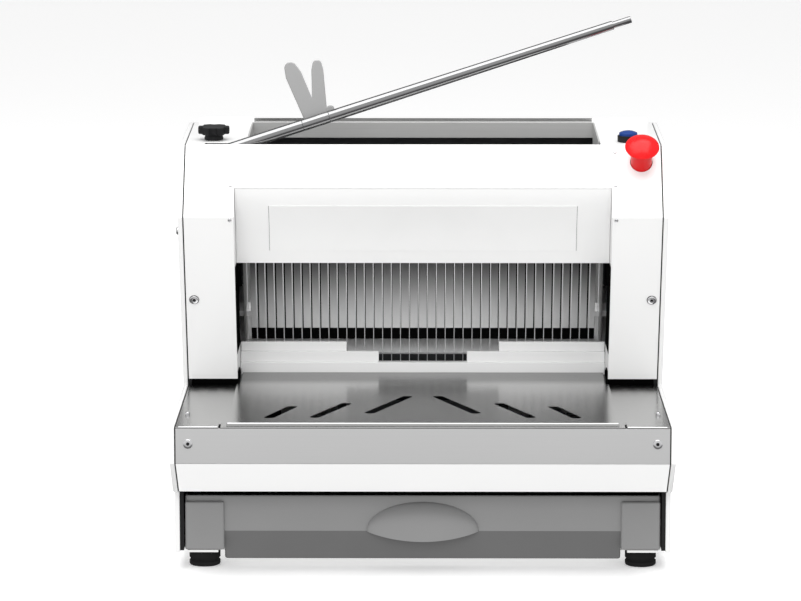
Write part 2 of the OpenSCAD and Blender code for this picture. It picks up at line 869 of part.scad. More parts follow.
module rear_lid() {
    slope = unit([body_d, rear_z] - ridge);
    end = between(ridge, [body_d, rear_z], 1 - lid_margin / (body_d - ridge_u));
    line = [ridge + lid_margin * slope, end];
    color("silver") from_front() along_x(-lid_x, lid_x) polygon(bent(line, lid_t));
}
module rear_cover() {
    low = -vent_len / 2;
    color("white") difference() {
        from_front() block([-panel_x, base_end, cover_z], [panel_x, body_d, rear_z - panel_gap]);
        for (row = [0 : vent_rows - 1])
            both_sides() from_front() translate([vent_x, base_end - overrun, vent_z + row * vent_pitch])
                block([low, 0, 0], [vent_len / 2, sheet_t + 2 * overrun, vent_h]);
        inlet_mouth();
    }
}
module hopper_liner() {
    side = [
        [hopper_front_u, hopper_low_z],
        [ridge_u, hopper_low_z],
        ridge,
        [hopper_front_u, deck_z(hopper_front_u)]
    ];
    color("silver") from_front() {
        both_sides() along_x(hopper_x - sheet_t, hopper_x) polygon(side);
        block([-hopper_x, ridge_u - sheet_t, ridge_z - hopper_rear_h],
              [hopper_x, ridge_u, deck_z(ridge_u - sheet_t)]);
    }
}

// Delivery table
module front_apron() {
    color("silver") from_front() block([-panel_x, 0, apron_z], [panel_x, sheet_t, table_z - sheet_t]);
}
module lower_apron() {
    line = [[0, apron_z], [apron_run, lower_apron_z]];
    color("white") from_front() intersection() {
        along_x(-panel_x, panel_x) polygon(bent(line, sheet_t));
        block([-panel_x, 0, lower_apron_z], [panel_x, body_d, apron_z]);
    }
}
module delivery_table() {
    low = table_z - sheet_t;
    notch_x = crumb_plate_x + notch_off;
    color("silver") from_front() difference() {
        union() {
            block([-panel_x, 0, low], [panel_x, tower_base_u, table_z]);
            block([-inner_x, 0, low], [inner_x, blade_u - table_off, table_z]);
        }
        block([-crumb_hole_x, crumb_hole_margin, low - overrun],
              [crumb_hole_x, rail_rear_u - rail_lower_d - crumb_hole_margin, table_z + overrun]);
        both_sides()
            block([notch_x, -overrun, low - overrun], [notch_x + notch_w, notch_d, table_z + overrun]);
    }
}
module crumb_shape(shrink) {
    front = crumb_plate_gap + shrink;
    half = crumb_plate_x - shrink;
    neck = window_x - crumb_plate_gap - shrink;
    shoulder = tower_base_u - 4 * crumb_plate_gap - shrink;
    rear = rail_rear_u - rail_lower_d - crumb_plate_gap - shrink;
    polygon([
        [-half, front], [half, front], [half, shoulder], [neck, shoulder], [neck, rear],
        [-neck, rear], [-neck, shoulder], [-half, shoulder]
    ]);
}
// A slot between two places, given as shares of the plate's half width and of the table's depth
module crumb_slot(a, b) {
    p = [a[0] * crumb_plate_x, a[1] * tower_base_u];
    q = [b[0] * crumb_plate_x, b[1] * tower_base_u];
    turn = atan2(q[1] - p[1], q[0] - p[0]);
    reach = norm(q - p);
    translate([p[0], p[1], table_z]) rotate(turn) {
        translate([0, -slot_w / 2, 0]) cube([reach, slot_w, 2 * crumb_plate_h]);
        cylinder(d = slot_w, h = 2 * crumb_plate_h);
        translate([reach, 0, 0]) cylinder(d = slot_w, h = 2 * crumb_plate_h);
    }
}
slot_shares = [
    [[0.788, 0.155], [0.680, 0.401]],
    [[0.552, 0.166], [0.400, 0.476]],
    [[0.272, 0.265], [0.082, 0.648]]
];
module crumb_plate() {
    color("gainsboro") from_front() difference() {
        translate([0, 0, table_z]) linear_extrude(crumb_plate_h) crumb_shape(0);
        translate([0, 0, table_z - overrun]) linear_extrude(crumb_plate_h - crumb_plate_t + overrun)
            crumb_shape(crumb_plate_t);
        for (s = slot_shares) both_sides() crumb_slot(s[0], s[1]);
    }
}

// Stepped rail under the blades
rail_top_1 = table_z + rail_lower_h;
rail_top_2 = rail_top_1 + rail_middle_h;
rail_top_3 = rail_top_2 + rail_upper_h;
rail_front = rail_rear_u - rail_lower_d;
rail_x = window_x - guard_gap;
module rail_lower() {
    color("white") from_front() block([-rail_x, rail_front, table_z], [rail_x, rail_rear_u, rail_top_1]);
}
module rail_middle() {
    color("white") both_sides() from_front()
        block([rail_middle_gap / 2, rail_front + rail_step, rail_top_1], [rail_x, rail_rear_u, rail_top_2]);
}
module rail_upper() {
    color("white") both_sides() from_front()
        block([rail_upper_gap / 2, rail_front + 2 * rail_step, rail_top_2],
              [rail_x, rail_rear_u, rail_top_3]);
}

// Crumb drawer
module drawer_front() {
    middle = [
        [drawer_u, drawer_top_z],
        [drawer_u, drawer_break_z],
        [drawer_u + drawer_rake, drawer_low_z],
        [drawer_back_u, drawer_low_z],
        [drawer_back_u, drawer_top_z]
    ];
    end_x = inner_x - drawer_end_w;
    color("gray") from_front() {
        along_x(-end_x, end_x) polygon(middle);
        both_sides() {
            block([end_x, drawer_u, drawer_end_z], [inner_x, drawer_back_u, drawer_top_z]);
            block([end_x, drawer_u - drawer_end_out, drawer_end_z],
                  [inner_x, drawer_back_u, drawer_top_z - drawer_band]);
        }
    }
}
// A spindle about a line across the drawer, as wide as given where it stands out by nothing
module spindle(half, out, core) {
    r = (half * half + out * out) / (2 * out);
    turn = asin(half / r);
    side = arc([core + out - r, 0], r, -turn, turn, 24);
    rotate([0, 90, 0]) rotate_extrude() polygon(concat([[0, half], [0, -half]], side));
}
// A bulging cup that the drawer's face and a slanting lip cut from a spindle
module drawer_handle() {
    core = (handle_h * handle_h / handle_out - handle_out) / 2;
    front = drawer_u - handle_out;
    half = handle_w / 2;
    lip_z = drawer_break_z - handle_drop;
    cup = [[drawer_u, drawer_break_z], [drawer_u, drawer_top_z], [front, drawer_top_z], [front, lip_z]];
    color("gray") from_front() intersection() {
        along_x(-half, half) polygon(cup);
        translate([0, drawer_u + core, drawer_break_z]) difference() {
            spindle(half, handle_out, core);
            spindle(half - handle_t, handle_out - handle_t, core);
        }
    }
}
module crumb_tray() {
    color("silver") from_front() difference() {
        block([-tray_x, drawer_back_u, tray_z], [tray_x, tray_back_u, tray_z + tray_h]);
        block([tray_t - tray_x, drawer_back_u + tray_t, tray_z + tray_t],
              [tray_x - tray_t, tray_back_u - tray_t, tray_z + tray_h + overrun]);
    }
}
module drawer_runners() {
    outer = tray_x + drawer_gap;
    color("dimgray") difference() {
        both_sides() from_front() {
            block([outer - runner_w, base_u, base_top], [outer, tray_back_u, base_top + runner_h]);
            block([outer, base_u, base_top], [outer + runner_h, tray_back_u, base_top + 3 * runner_h]);
        }
        stud_holes();
    }
}

// Blade frames, with their blades and guides
module guide_rods() {
    color("silver") on_blades() both_sides() for (n = [-guide_off, guide_off])
        translate([guide_x, n, guide_low_w - guide_block_h])
            cylinder(d = guide_d, h = guide_top_w - guide_low_w + 2 * guide_block_h);
}
module guide_blocks() {
    inner = guide_x - boss_d / 2;
    color("gray") on_blades() both_sides() for (w = [guide_low_w - guide_block_h, guide_top_w]) difference() {
        block([inner, -guide_block_d / 2, w], [plate_x, guide_block_d / 2, w + guide_block_h]);
        for (n = [-guide_off, guide_off]) translate([guide_x, n, w - overrun])
            cylinder(d = guide_d + 2 * seat_gap, h = guide_block_h + 2 * overrun);
    }
}
module blade_frame() {
    beams = [-blade_low, blade_top - beam_h];
    out_n = -beam_n - beam_t;
    difference() {
        union() {
            for (w = beams) block([-frame_half, out_n, w], [frame_half, -beam_n, w + beam_h]);
            both_sides() block([frame_half - post_w, out_n, -blade_low], [frame_half, -beam_n, blade_top]);
            for (w = beams) both_sides() {
                block([frame_half - post_w, out_n, w], [guide_x, -beam_n, w + beam_h]);
                translate([guide_x, -guide_off, w]) cylinder(d = boss_d, h = beam_h);
            }
        }
        both_sides() translate([guide_x, -guide_off, -blade_low - overrun])
            cylinder(d = guide_d + 2 * run_gap, h = blade_low + blade_top + 2 * overrun);
    }
}
// The rear frame is the front one mirrored across the blades
module behind_blades() {
    on_blades() mirror([0, 1, 0]) children();
}
module front_blade_frame() {
    color("gray") on_blades() blade_frame();
}
module rear_blade_frame() {
    color("gray") behind_blades() blade_frame();
}
// One frame's blades: every second place along the row
module blade_row(first) {
    for (i = [first : 2 : blade_count - 1])
        translate([(i - (blade_count - 1) / 2) * blade_pitch - blade_t / 2, -beam_n, -blade_low])
            cube([blade_t, blade_w, blade_low + blade_top]);
}
module front_blades() {
    color("silver") on_blades() blade_row(0);
}
module rear_blades() {
    color("silver") behind_blades() blade_row(1);
}

// Crank drive
module connecting_rod(x) {
    shank_n = -beam_n - beam_t / 2;
    difference() {
        union() {
            translate([0, 0, crank_w]) bar_along_x(x - con_t / 2, x + con_t / 2, ring_r + ring_t);
            block([x - con_t / 2, shank_n - con_w / 2, crank_w + ring_r],
                  [x + con_t / 2, shank_n + con_w / 2, -blade_low]);
        }
        translate([0, 0, crank_w]) bar_along_x(x - con_t, x + con_t, ring_r);
    }
}
module front_connecting_rods() {
    color("gray") on_blades() both_sides() connecting_rod(con_front_x);
}
module rear_connecting_rods() {
    color("gray") behind_blades() both_sides() connecting_rod(con_rear_x);
}
module crankshaft() {
    end = bearing_x + bearing_t;
    color("silver") at_crank() {
        bar_along_x(-end, end, crank_d / 2);
        both_sides() translate([0, -stroke, 0])
            bar_along_x(con_front_x - con_t / 2, con_front_x + con_t / 2, eccentric_r);
        both_sides() translate([0, stroke, 0])
            bar_along_x(con_rear_x - con_t / 2, con_rear_x + con_t / 2, eccentric_r);
    }
}
module bearing_blocks() {
    r = crank_d / 2 + bearing_wall;
    color("dimgray") both_sides() difference() {
        from_front() block([bearing_x - bearing_t / 2, crank_u - r, base_top],
                           [bearing_x + bearing_t / 2, crank_u + r, crank_z + r]);
        at_crank() bar_along_x(bearing_x - bearing_t, bearing_x + bearing_t, crank_d / 2 + run_gap);
    }
}
module pulley(r, bore) {
    low = r - groove_d;
    section = [
        [bore + seat_gap, -pulley_t / 2],
        [r, -pulley_t / 2],
        [r, -groove_w / 2],
        [low, -groove_low_w / 2],
        [low, groove_low_w / 2],
        [r, groove_w / 2],
        [r, pulley_t / 2],
        [bore + seat_gap, pulley_t / 2]
    ];
    translate([pulley_x, 0, 0]) rotate([0, 90, 0]) rotate_extrude() polygon(section);
}
module crank_pulley() {
    color("dimgray") at_crank() pulley(pulley_r, crank_d / 2);
}
module motor() {
    start = motor_end_x - motor_len;
    color("slategray") at_motor() difference() {
        union() {
            bar_along_x(start, motor_end_x, motor_r);
            block([start + motor_end, -motor_foot_w / 2, -motor_seat],
                  [motor_end_x - motor_end, motor_foot_w / 2, 0]);
        }
        bar_along_x(motor_end_x - motor_end, motor_end_x + overrun, motor_shaft_d / 2 + run_gap);
    }
}
module motor_mount() {
    start = motor_end_x - motor_len + motor_end - mount_margin;
    end = motor_end_x - motor_end + mount_margin;
    half = motor_foot_w / 2 + mount_margin;
    color("dimgray") from_front()
        block([start, motor_u - half, base_top], [end, motor_u + half, base_top + mount_t]);
}
module motor_shaft() {
    color("silver") at_motor()
        bar_along_x(motor_end_x - motor_end + overrun, pulley_x + pulley_t / 2 + overrun, motor_shaft_d / 2);
}
module motor_pulley() {
    color("dimgray") at_motor() pulley(motor_pulley_r, motor_shaft_d / 2);
}
module belt_loop(grow) {
    hull() {
        translate([crank_u, crank_z]) circle(r = pulley_r - groove_d + belt_gap + grow, $fn = 96);
        translate([motor_u, motor_z]) circle(r = motor_pulley_r - groove_d + belt_gap + grow, $fn = 96);
    }
}
module drive_belt() {
    color("black") from_front() along_x(pulley_x - belt_w / 2, pulley_x + belt_w / 2) difference() {
        belt_loop(belt_t);
        belt_loop(0);
    }
}

// Chute and pusher
module chute_floor() {
    wide = plate_x;
    color("silver") on_blades() {
        block([-chute_half, chute_gap, -chute_t], [chute_half, chute_nose, 0]);
        block([-wide, chute_nose, -chute_t], [wide, chute_d, 0]);
    }
}
slot_half = lug_t / 2 + lug_clear;
slot_end = chute_d - pusher_spare + lug_clear;
module chute_sides() {
    color("silver") on_blades() both_sides() difference() {
        block([chute_half, chute_nose, 0], [chute_half + chute_side_t, chute_d, chute_side_h]);
        block([chute_half - overrun, pusher_off - lug_clear, pusher_rod_h - slot_half],
              [chute_half + chute_side_t + overrun, slot_end, pusher_rod_h + slot_half]);
    }
}
module pusher() {
    color("darkgray") on_blades() difference() {
        union() {
            block([-pusher_x, pusher_off, pusher_gap], [pusher_x, pusher_off + pusher_t, pusher_top]);
            both_sides() {
                block([pusher_x - lug_t, pusher_off, pusher_rod_h - lug_t / 2],
                      [pusher_rod_x, pusher_off + bush_len, pusher_rod_h + lug_t / 2]);
                translate([pusher_rod_x, 0, pusher_rod_h])
                    bar_along_y(pusher_off, pusher_off + bush_len, bush_d / 2);
            }
        }
        both_sides() translate([pusher_rod_x, 0, pusher_rod_h])
            bar_along_y(pusher_off - overrun, pusher_off + bush_len + overrun, pusher_rod_d / 2 + run_gap);
    }
}
module pusher_rods() {
    color("silver") on_blades() both_sides() translate([pusher_rod_x, 0, pusher_rod_h])
        bar_along_y(chute_nose, chute_d, pusher_rod_d / 2);
}
module rod_brackets() {
    top = pusher_rod_h + bracket_w / 2;
    color("gray") on_blades() both_sides() for (n = [chute_nose, chute_d - bracket_t]) difference() {
        block([pusher_rod_x - bracket_w / 2, n, 0], [pusher_rod_x + bracket_w / 2, n + bracket_t, top]);
        translate([pusher_rod_x, 0, pusher_rod_h])
            bar_along_y(n - overrun, n + bracket_t + overrun, pusher_rod_d / 2 + seat_gap);
    }
}

// Lever
module lever_bracket() {
    low = pivot_z - cheek_low;
    high = pivot_z + cheek_high;
    front = hub_u - hub_gap - cheek_t;
    back = hub_end_u + hub_gap;
    tip = cheek_past - pivot_x;
    color("gray") from_front() difference() {
        union() {
            block([-plate_x, front, low], [cheek_t - plate_x, back + cheek_t, high]);
            block([-plate_x, front, low], [tip, front + cheek_t, high]);
            block([-plate_x, back, low], [tip, back + cheek_t, high]);
        }
        translate([-pivot_x, 0, pivot_z])
            bar_along_y(front - overrun, back + cheek_t + overrun, pin_d / 2 + seat_gap);
    }
}
module lever_pin() {
    color("silver") from_front() translate([-pivot_x, 0, pivot_z])
        bar_along_y(hub_u - hub_gap - cheek_t, hub_end_u + hub_gap + cheek_t, pin_d / 2);
}
module lever_hub() {
    color("gray") difference() {
        at_lever() bar_along_y(-hub_front, hub_len - hub_front, hub_d / 2);
        at_lever() bar_along_y(-hub_front - overrun, hub_len - hub_front + overrun, pin_d / 2 + run_gap);
        at_lever() bar_along_x(bar_seat, hub_d, lever_d / 2 + seat_gap);
    }
}
module lever_bar() {
    color("silver") at_lever() {
        bar_along_x(bar_seat, journal_start, lever_d / 2);
        bar_along_x(journal_start, journal_end, journal_d / 2);
        translate([journal_end, 0, 0]) rotate([0, 90, 0])
            cylinder(d1 = lever_d, d2 = lever_tip_d, h = lever_len - journal_end);
        bar_along_x(lever_len, lever_len + lever_step_len, lever_step_d / 2);
    }
}
// The collar lies flush with the lever, and a pad on its back carries the paddles clear of the bar
module paddle_collar() {
    start = collar_off - collar_len / 2;
    end = collar_off + collar_len / 2;
    color("silver") at_lever() difference() {
        union() {
            bar_along_x(start, end, collar_d / 2);
            block([start, 0, -collar_d / 4], [end, paddle_back, collar_d / 4]);
        }
        bar_along_x(start - overrun, end + overrun, journal_d / 2 + run_gap);
    }
}
// A leaf-shaped paddle that stands up from its root and leans by an angle
module leaf(root_x, lean, reach, r, tip_r) {
    translate([root_x, 0]) rotate(lean) hull() {
        square([2 * paddle_root, collar_d / 2], center = true);
        translate([0, reach - tip_r - r]) circle(r = r, $fn = 32);
        translate([0, reach - tip_r]) circle(r = tip_r, $fn = 32);
    }
}
// Two leaves and a round tab, cut as one plate
module paddles() {
    color("darkgray") at_lever() translate([collar_off, paddle_back + paddle_t, 0]) rotate([90, 0, 0])
        linear_extrude(paddle_t) {
            rotate(-lever_rise) {
                leaf(-paddle_spread, left_paddle_lean, left_paddle_len, left_paddle_r, left_paddle_tip_r);
                leaf(paddle_spread, right_paddle_lean, right_paddle_len, right_paddle_r, right_paddle_tip_r);
            }
            hull() {
                circle(r = tab_r, $fn = 32);
                translate([tab_off, tab_rise]) circle(r = tab_r, $fn = 32);
            }
        }
}

// Controls
module star_knob() {
    lobe_r = PI * knob_d / (4 * knob_lobes);
    stud_low = pivot_z + hub_d / 2 + knob_stud_gap - deck_z(knob_u);
    color("black") at_knob() {
        translate([0, 0, knob_gap]) cylinder(d = knob_neck_d, h = knob_neck_h - knob_gap);
        translate([0, 0, stud_low]) cylinder(d = knob_stud_d, h = knob_neck_h - stud_low);
        translate([0, 0, knob_neck_h]) difference() {
            cylinder(d = knob_d, h = knob_head_h);
            for (i = [0 : knob_lobes - 1]) rotate(360 * (i + 1 / 2) / knob_lobes)
                translate([knob_d / 2 + lobe_r / 3, 0, -overrun])
                    cylinder(r = lobe_r, h = knob_head_h + 2 * overrun);
        }
    }
}
start_well = start_out + start_travel;
module start_body() {
    color("black") at_start() difference() {
        union() {
            cylinder(d = start_d, h = start_h);
            translate([0, 0, -start_low]) cylinder(d = start_barrel_d, h = start_low);
        }
        translate([0, 0, start_h - start_well])
            cylinder(d = start_cap_d + 2 * run_gap, h = start_well + overrun);
        translate([0, 0, overrun - start_low])
            cylinder(d = start_rod_d + 2 * run_gap, h = start_low + start_h);
    }
}
module start_button() {
    side_low = start_h - start_well + start_travel + drawer_gap;
    side_top = start_h + start_out;
    r = start_cap_d / 2;
    dome_r = (r * r + start_dome * start_dome) / (2 * start_dome);
    half_angle = asin(r / dome_r);
    dome = arc([0, side_top + start_dome - dome_r], dome_r, 90 - half_angle, 90, 12);
    rod_low = start_travel + 2 * overrun - start_low;
    section = concat(
        [[0, rod_low], [start_rod_d / 2, rod_low], [start_rod_d / 2, side_low], [r, side_low]], dome);
    color("royalblue") at_start() rotate_extrude() polygon(section);
}
module stop_switch() {
    inner = shifted([brow, crease], sheet_t);
    behind = [inner[0], inner[1], [far, inner[1][1]], [far, inner[0][1]]];
    color("black") difference() {
        intersection() {
            at_stop() translate([0, 0, -stop_switch_len])
                cylinder(d = stop_switch_d, h = stop_switch_len + stop_stem_d);
            from_front() along_x(0, half_w) polygon(behind);
        }
        at_stop() translate([0, 0, -stop_sunk - stop_travel - drawer_gap])
            cylinder(d = stop_stem_d + 2 * run_gap, h = 2 * stop_stem_d);
        at_stop() translate([0, 0, -stop_switch_len - overrun])
            cylinder(d = stop_rod_d + 2 * run_gap, h = stop_switch_len + overrun);
    }
}
module stop_button() {
    stem = stop_stem_d / 2;
    head = stop_head_d / 2;
    rod = stop_rod_d / 2;
    rod_low = stop_travel + overrun - stop_switch_len;
    rim_z = stop_stem_h + stop_flare_h;
    flare_r = head - stem - overrun;
    crown_r = (head * head + stop_crown * stop_crown) / (2 * stop_crown);
    flare = [
        for (p = arc([1, 0], 1, 180, 90, 8))
            [stem + flare_r * p[0], stop_stem_h - overrun + stop_flare_h * p[1]]
    ];
    crown = arc([0, rim_z + stop_crown - crown_r], crown_r, 90 - asin(head / crown_r), 90, 12);
    section = concat([[0, rod_low], [rod, rod_low], [rod, -stop_sunk], [stem, -stop_sunk]], flare, crown);
    color("red") at_stop() rotate_extrude() polygon(section);
}

// Electrics
module control_box() {
    low = motor_z + box_rise;
    back = base_end - box_back;
    front = back - box_d;
    high = blade_z + (front - blade_u) * tan(blade_tilt) - chute_t / cos(blade_tilt) - box_gap;
    color("gray") from_front() block([-plate_x, front, low], [box_w - plate_x, back, high]);
}
module inlet_mouth() {
    from_front() translate([-inlet_x, base_end - inlet_d, inlet_z])
        block([-inlet_w / 2, 0, -inlet_h / 2], [inlet_w / 2, inlet_d + sheet_t + overrun, inlet_h / 2]);
}
module power_inlet() {
    half = inlet_w / 2 + inlet_wall;
    high = inlet_h / 2 + inlet_wall;
    pin_x = inlet_w / 4;
    color("black") {
        difference() {
            from_front() translate([-inlet_x, base_end, inlet_z])
                block([-half, -inlet_d - inlet_wall, -high], [half, 0, high]);
            inlet_mouth();
        }
        for (x = [-pin_x, 0, pin_x]) from_front() translate([x - inlet_x, base_end - inlet_d, inlet_z])
            block([-sheet_t / 2, 0, -sheet_t], [sheet_t / 2, inlet_d - inlet_wall, sheet_t]);
    }
}

// Fasteners
pillar_screw_share = 0.503;
crease_screw_share = 0.016;
upper_screw_share = 0.44;
top_screw_share = 0.9;
apron_screw_share = 0.54;
module on_front(x, place, normal) {
    from_front() translate([x, place[0], place[1]]) rotate([atan2(-normal[0], normal[1]), 0, 0]) children();
}
module screws() {
    leg_normal = left_of(unit(crease - tower_foot));
    face_out = -face_normal;
    edge_x = wall_x - screw_inset;
    small_x = window_x + small_screw_d;
    color("gray") both_sides() {
        on_front(edge_x, between(crease, tower_foot, pillar_screw_share), leg_normal)
            cylinder(d = screw_d, h = screw_h);
        on_front(wall_x - apron_screw_inset, [0, between(apron_z, table_z, apron_screw_share)], [-1, 0])
            cylinder(d = screw_d, h = apron_screw_h);
        on_front(small_x, between(crease, brow, upper_screw_share), face_out)
            cylinder(d = small_screw_d, h = small_screw_h);
        on_front(small_x, between(crease, tower_foot, crease_screw_share), leg_normal)
            cylinder(d = small_screw_d, h = small_screw_h);
        on_front(edge_x, [table_pin_back, table_z], [0, 1])
            cylinder(d = table_pin_d, h = table_pin_h);
    }
    color("gray") on_front(small_x, between(crease, brow, top_screw_share), face_out)
        cylinder(d = small_screw_d, h = small_screw_h);
}
module cover_bolts() {
    front = [crease_u + bolt_d * 2, crease_z - bolt_d * 2];
    rear_low = [body_d - tie_inset, base_z + base_flange_h];
    rear_high = [body_d - tie_inset, rear_z - tie_inset];
    color("silver") {
        for (p = [front, rear_low, rear_high]) from_front() translate([0, p[0], p[1]])
            bar_along_x(-half_w - bolt_h, -half_w, bolt_d / 2);
        for (p = [rear_low, rear_high]) from_front() translate([0, p[0], p[1]])
            bar_along_x(half_w, half_w + bolt_h, bolt_d / 2);
    }
}

base_plate();
feet();
left_frame();
right_frame();
tie_bars();
left_side_cover();
right_side_cover();
front_cover();
guard_plate();
top_deck();
rear_lid();
rear_cover();
hopper_liner();
front_apron();
lower_apron();
delivery_table();
crumb_plate();
rail_lower();
rail_middle();
rail_upper();
drawer_front();
drawer_handle();
crumb_tray();
drawer_runners();
guide_rods();
guide_blocks();
front_blade_frame();
rear_blade_frame();
front_blades();
rear_blades();
front_connecting_rods();
rear_connecting_rods();
crankshaft();
bearing_blocks();
crank_pulley();
motor();
motor_mount();
motor_shaft();
motor_pulley();
drive_belt();
chute_floor();
chute_sides();
pusher();
pusher_rods();
rod_brackets();
lever_bracket();
lever_pin();
lever_hub();
lever_bar();
paddle_collar();
paddles();
star_knob();
start_body();
start_button();
stop_switch();
stop_button();
control_box();
power_inlet();
screws();
cover_bolts();
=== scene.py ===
import json
import math

import bmesh
import bpy
from bpy.props import FloatProperty, FloatVectorProperty, IntProperty, PointerProperty
from bpy.types import Operator, Panel, PropertyGroup
from mathutils import Matrix, Vector


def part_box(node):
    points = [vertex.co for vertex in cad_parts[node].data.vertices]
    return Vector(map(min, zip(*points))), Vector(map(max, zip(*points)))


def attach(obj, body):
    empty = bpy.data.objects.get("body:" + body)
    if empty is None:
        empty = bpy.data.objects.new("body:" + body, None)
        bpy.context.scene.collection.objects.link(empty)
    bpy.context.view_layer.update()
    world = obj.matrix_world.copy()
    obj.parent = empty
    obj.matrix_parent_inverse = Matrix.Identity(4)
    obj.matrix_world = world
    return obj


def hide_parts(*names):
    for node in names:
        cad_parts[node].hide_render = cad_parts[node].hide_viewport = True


bl_info = {
    "name": "Bread Slicer Looks",
    "version": (1, 0, 0),
    "blender": (4, 5, 0),
    "location": "View3D > Sidebar > Bread Slicer",
    "description": "Dresses the packed bread slicer with rounded sheets, toothed blades and finishes",
    "category": "Object",
}

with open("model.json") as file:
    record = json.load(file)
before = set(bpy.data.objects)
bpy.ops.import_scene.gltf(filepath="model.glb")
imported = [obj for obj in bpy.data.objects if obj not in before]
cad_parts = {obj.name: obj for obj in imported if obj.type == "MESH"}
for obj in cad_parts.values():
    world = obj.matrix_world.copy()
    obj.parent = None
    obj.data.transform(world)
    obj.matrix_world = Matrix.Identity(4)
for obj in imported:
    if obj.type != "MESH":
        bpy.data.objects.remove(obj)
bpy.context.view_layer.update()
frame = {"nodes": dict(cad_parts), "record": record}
NODES = frame["nodes"]
BODY_OF = {n: body for body, nodes in frame["record"]["behaviour"]["bodies"].items() for n in nodes}
SLOT_OF = {row["node"]: row["material_slot"] for row in frame["record"]["subparts"]}
MM = 0.001

WELD = 0.001 * MM  # vertices this close are one
NEAR = 0.01 * MM  # places this close count as the same
FLAT = math.radians(0.3)  # faces bent less than this are one
BEND = math.radians(32)  # edges bent less than this stay as they are
CREASE = math.radians(40)  # shading breaks at edges sharper than this
TRIM_EDGE = 0.3 * MM  # edge radius of small trims
ROUND_FROM = 10  # a face with more corners than this is a round end
DRAWER_RAKE = (0, -0.963, -0.271)  # where the raked part of the drawer's face looks

AIM = (0.0, 0.0, 0.3)
TOP_LIGHT = {"size": 3.2, "place": (0.0, -0.6, 3.0), "mirrored": True}
FRONT_LIGHT = {"size": 2.0, "place": (-0.5, -3.6, 1.5), "mirrored": False}
FLOOR_HALF = 30.0
SENSOR_MM = 36.0
FAR_CLIP = 200.0
# Heights and depths of the view direction between which the surround changes
HORIZON = (-0.3, 0.3)
MIRROR_HORIZON = (-0.5, -0.06)
BACK_FADE = (-0.1, 0.6)


# Shader maths

def both_ways(operation):
    """The two methods of an operator: with the value before it and after it."""
    return (lambda value, other: value.math(operation, value, other),
            lambda value, other: value.math(operation, other, value))


class Value:
    """A socket of a finish; arithmetic on it adds Math nodes."""

    def __init__(self, finish, socket):
        self.finish = finish
        self.socket = socket

    def math(self, operation, a, b):
        return self.finish.node("ShaderNodeMath", {"operation": operation}, {0: a, 1: b})

    __add__, __radd__ = both_ways("ADD")
    __sub__, __rsub__ = both_ways("SUBTRACT")
    __mul__, __rmul__ = both_ways("MULTIPLY")
    __pow__, __rpow__ = both_ways("POWER")


class Nodes:
    """A node tree that takes any node through one method."""

    def __init__(self, tree, coordinates):
        self.tree = tree
        self.place = self.node("ShaderNodeTexCoord", out=coordinates)

    def node(self, kind, settings=None, inputs=None, out=0):
        """Any node: its type, its settings, and the values or links of its sockets."""
        node = self.tree.nodes.new(kind)
        for name, value in (settings or {}).items():
            setattr(node, name, value)
        for key, value in (inputs or {}).items():
            self.put(node.inputs[key], value)
        return Value(self, node.outputs[out])

    def put(self, socket, value):
        if isinstance(value, Value):
            self.tree.links.new(value.socket, socket)
        else:
            socket.default_value = value

    def along(self, axis):
        """The place along X, Y or Z."""
        return self.node("ShaderNodeSeparateXYZ", {}, {"Vector": self.place}, out=axis)

    def mask(self, value, low, high):
        """0 where a value is under low and 1 where it is over high."""
        return self.node("ShaderNodeMapRange", {"interpolation_type": "SMOOTHSTEP"},
                         {"Value": value, "From Min": low, "From Max": high})


class Finish(Nodes):
    """One material, on the piece's own Object coordinates."""

    def __init__(self, name):
        self.material = bpy.data.materials.new(name)
        self.material.use_nodes = True
        self.shader = self.material.node_tree.nodes["Principled BSDF"]
        super().__init__(self.material.node_tree, "Object")

    def set(self, **inputs):
        """Inputs of the shader itself, with _ for the spaces in their names."""
        for name, value in inputs.items():
            self.put(self.shader.inputs[name.replace("_", " ")], value)

    def noise(self, scale, detail=2.0, stretch=(1.0, 1.0, 1.0), rough=0.5):
        """Noise from 0 to 1 whose grains are about 1/scale metres, longer where stretch is small."""
        spread = self.node("ShaderNodeMapping", {},
                           {"Vector": self.place, "Scale": [scale * s for s in stretch]})
        return self.node("ShaderNodeTexNoise", {},
                         {"Vector": spread, "Scale": 1.0, "Detail": detail, "Roughness": rough})

    def cells(self, scale):
        """Distance to the middle of cells about 1/scale metres wide."""
        return self.node("ShaderNodeTexVoronoi", {}, {"Vector": self.place, "Scale": scale})

    def between(self, share, first, second):
        """A colour between two colours or links, by share."""
        ends = [end if isinstance(end, Value) else (*end, 1.0) for end in (first, second)]
        return self.node("ShaderNodeMix", {"data_type": "RGBA"},
                         {0: share, 6: ends[0], 7: ends[1]}, out=2)

    def mottled(self, share, colour, low, high, **inputs):
        """A colour that varies between two tones of it by share, with the shader's other inputs."""
        self.set(Base_Color=self.between(share, tone(colour, low), tone(colour, high)), **inputs)

    def bump(self, height, depth, strength):
        self.put(self.shader.inputs["Normal"],
                 self.node("ShaderNodeBump", {}, {"Strength": strength, "Distance": depth, "Height": height}))


def tone(colour, share):
    return tuple(min(1.0, c * share) for c in colour)


def white_enamel(f, colour):
    coat = f.noise(4.0, 3.0)
    smudge = f.noise(26.0, 4.0)
    peel = f.noise(650.0)
    f.mottled(coat, colour, 0.975, 1.0, Roughness=0.25 + 0.14 * smudge, Coat_Weight=0.2, Coat_Roughness=0.12)
    f.bump(peel, 0.00006, 0.35)


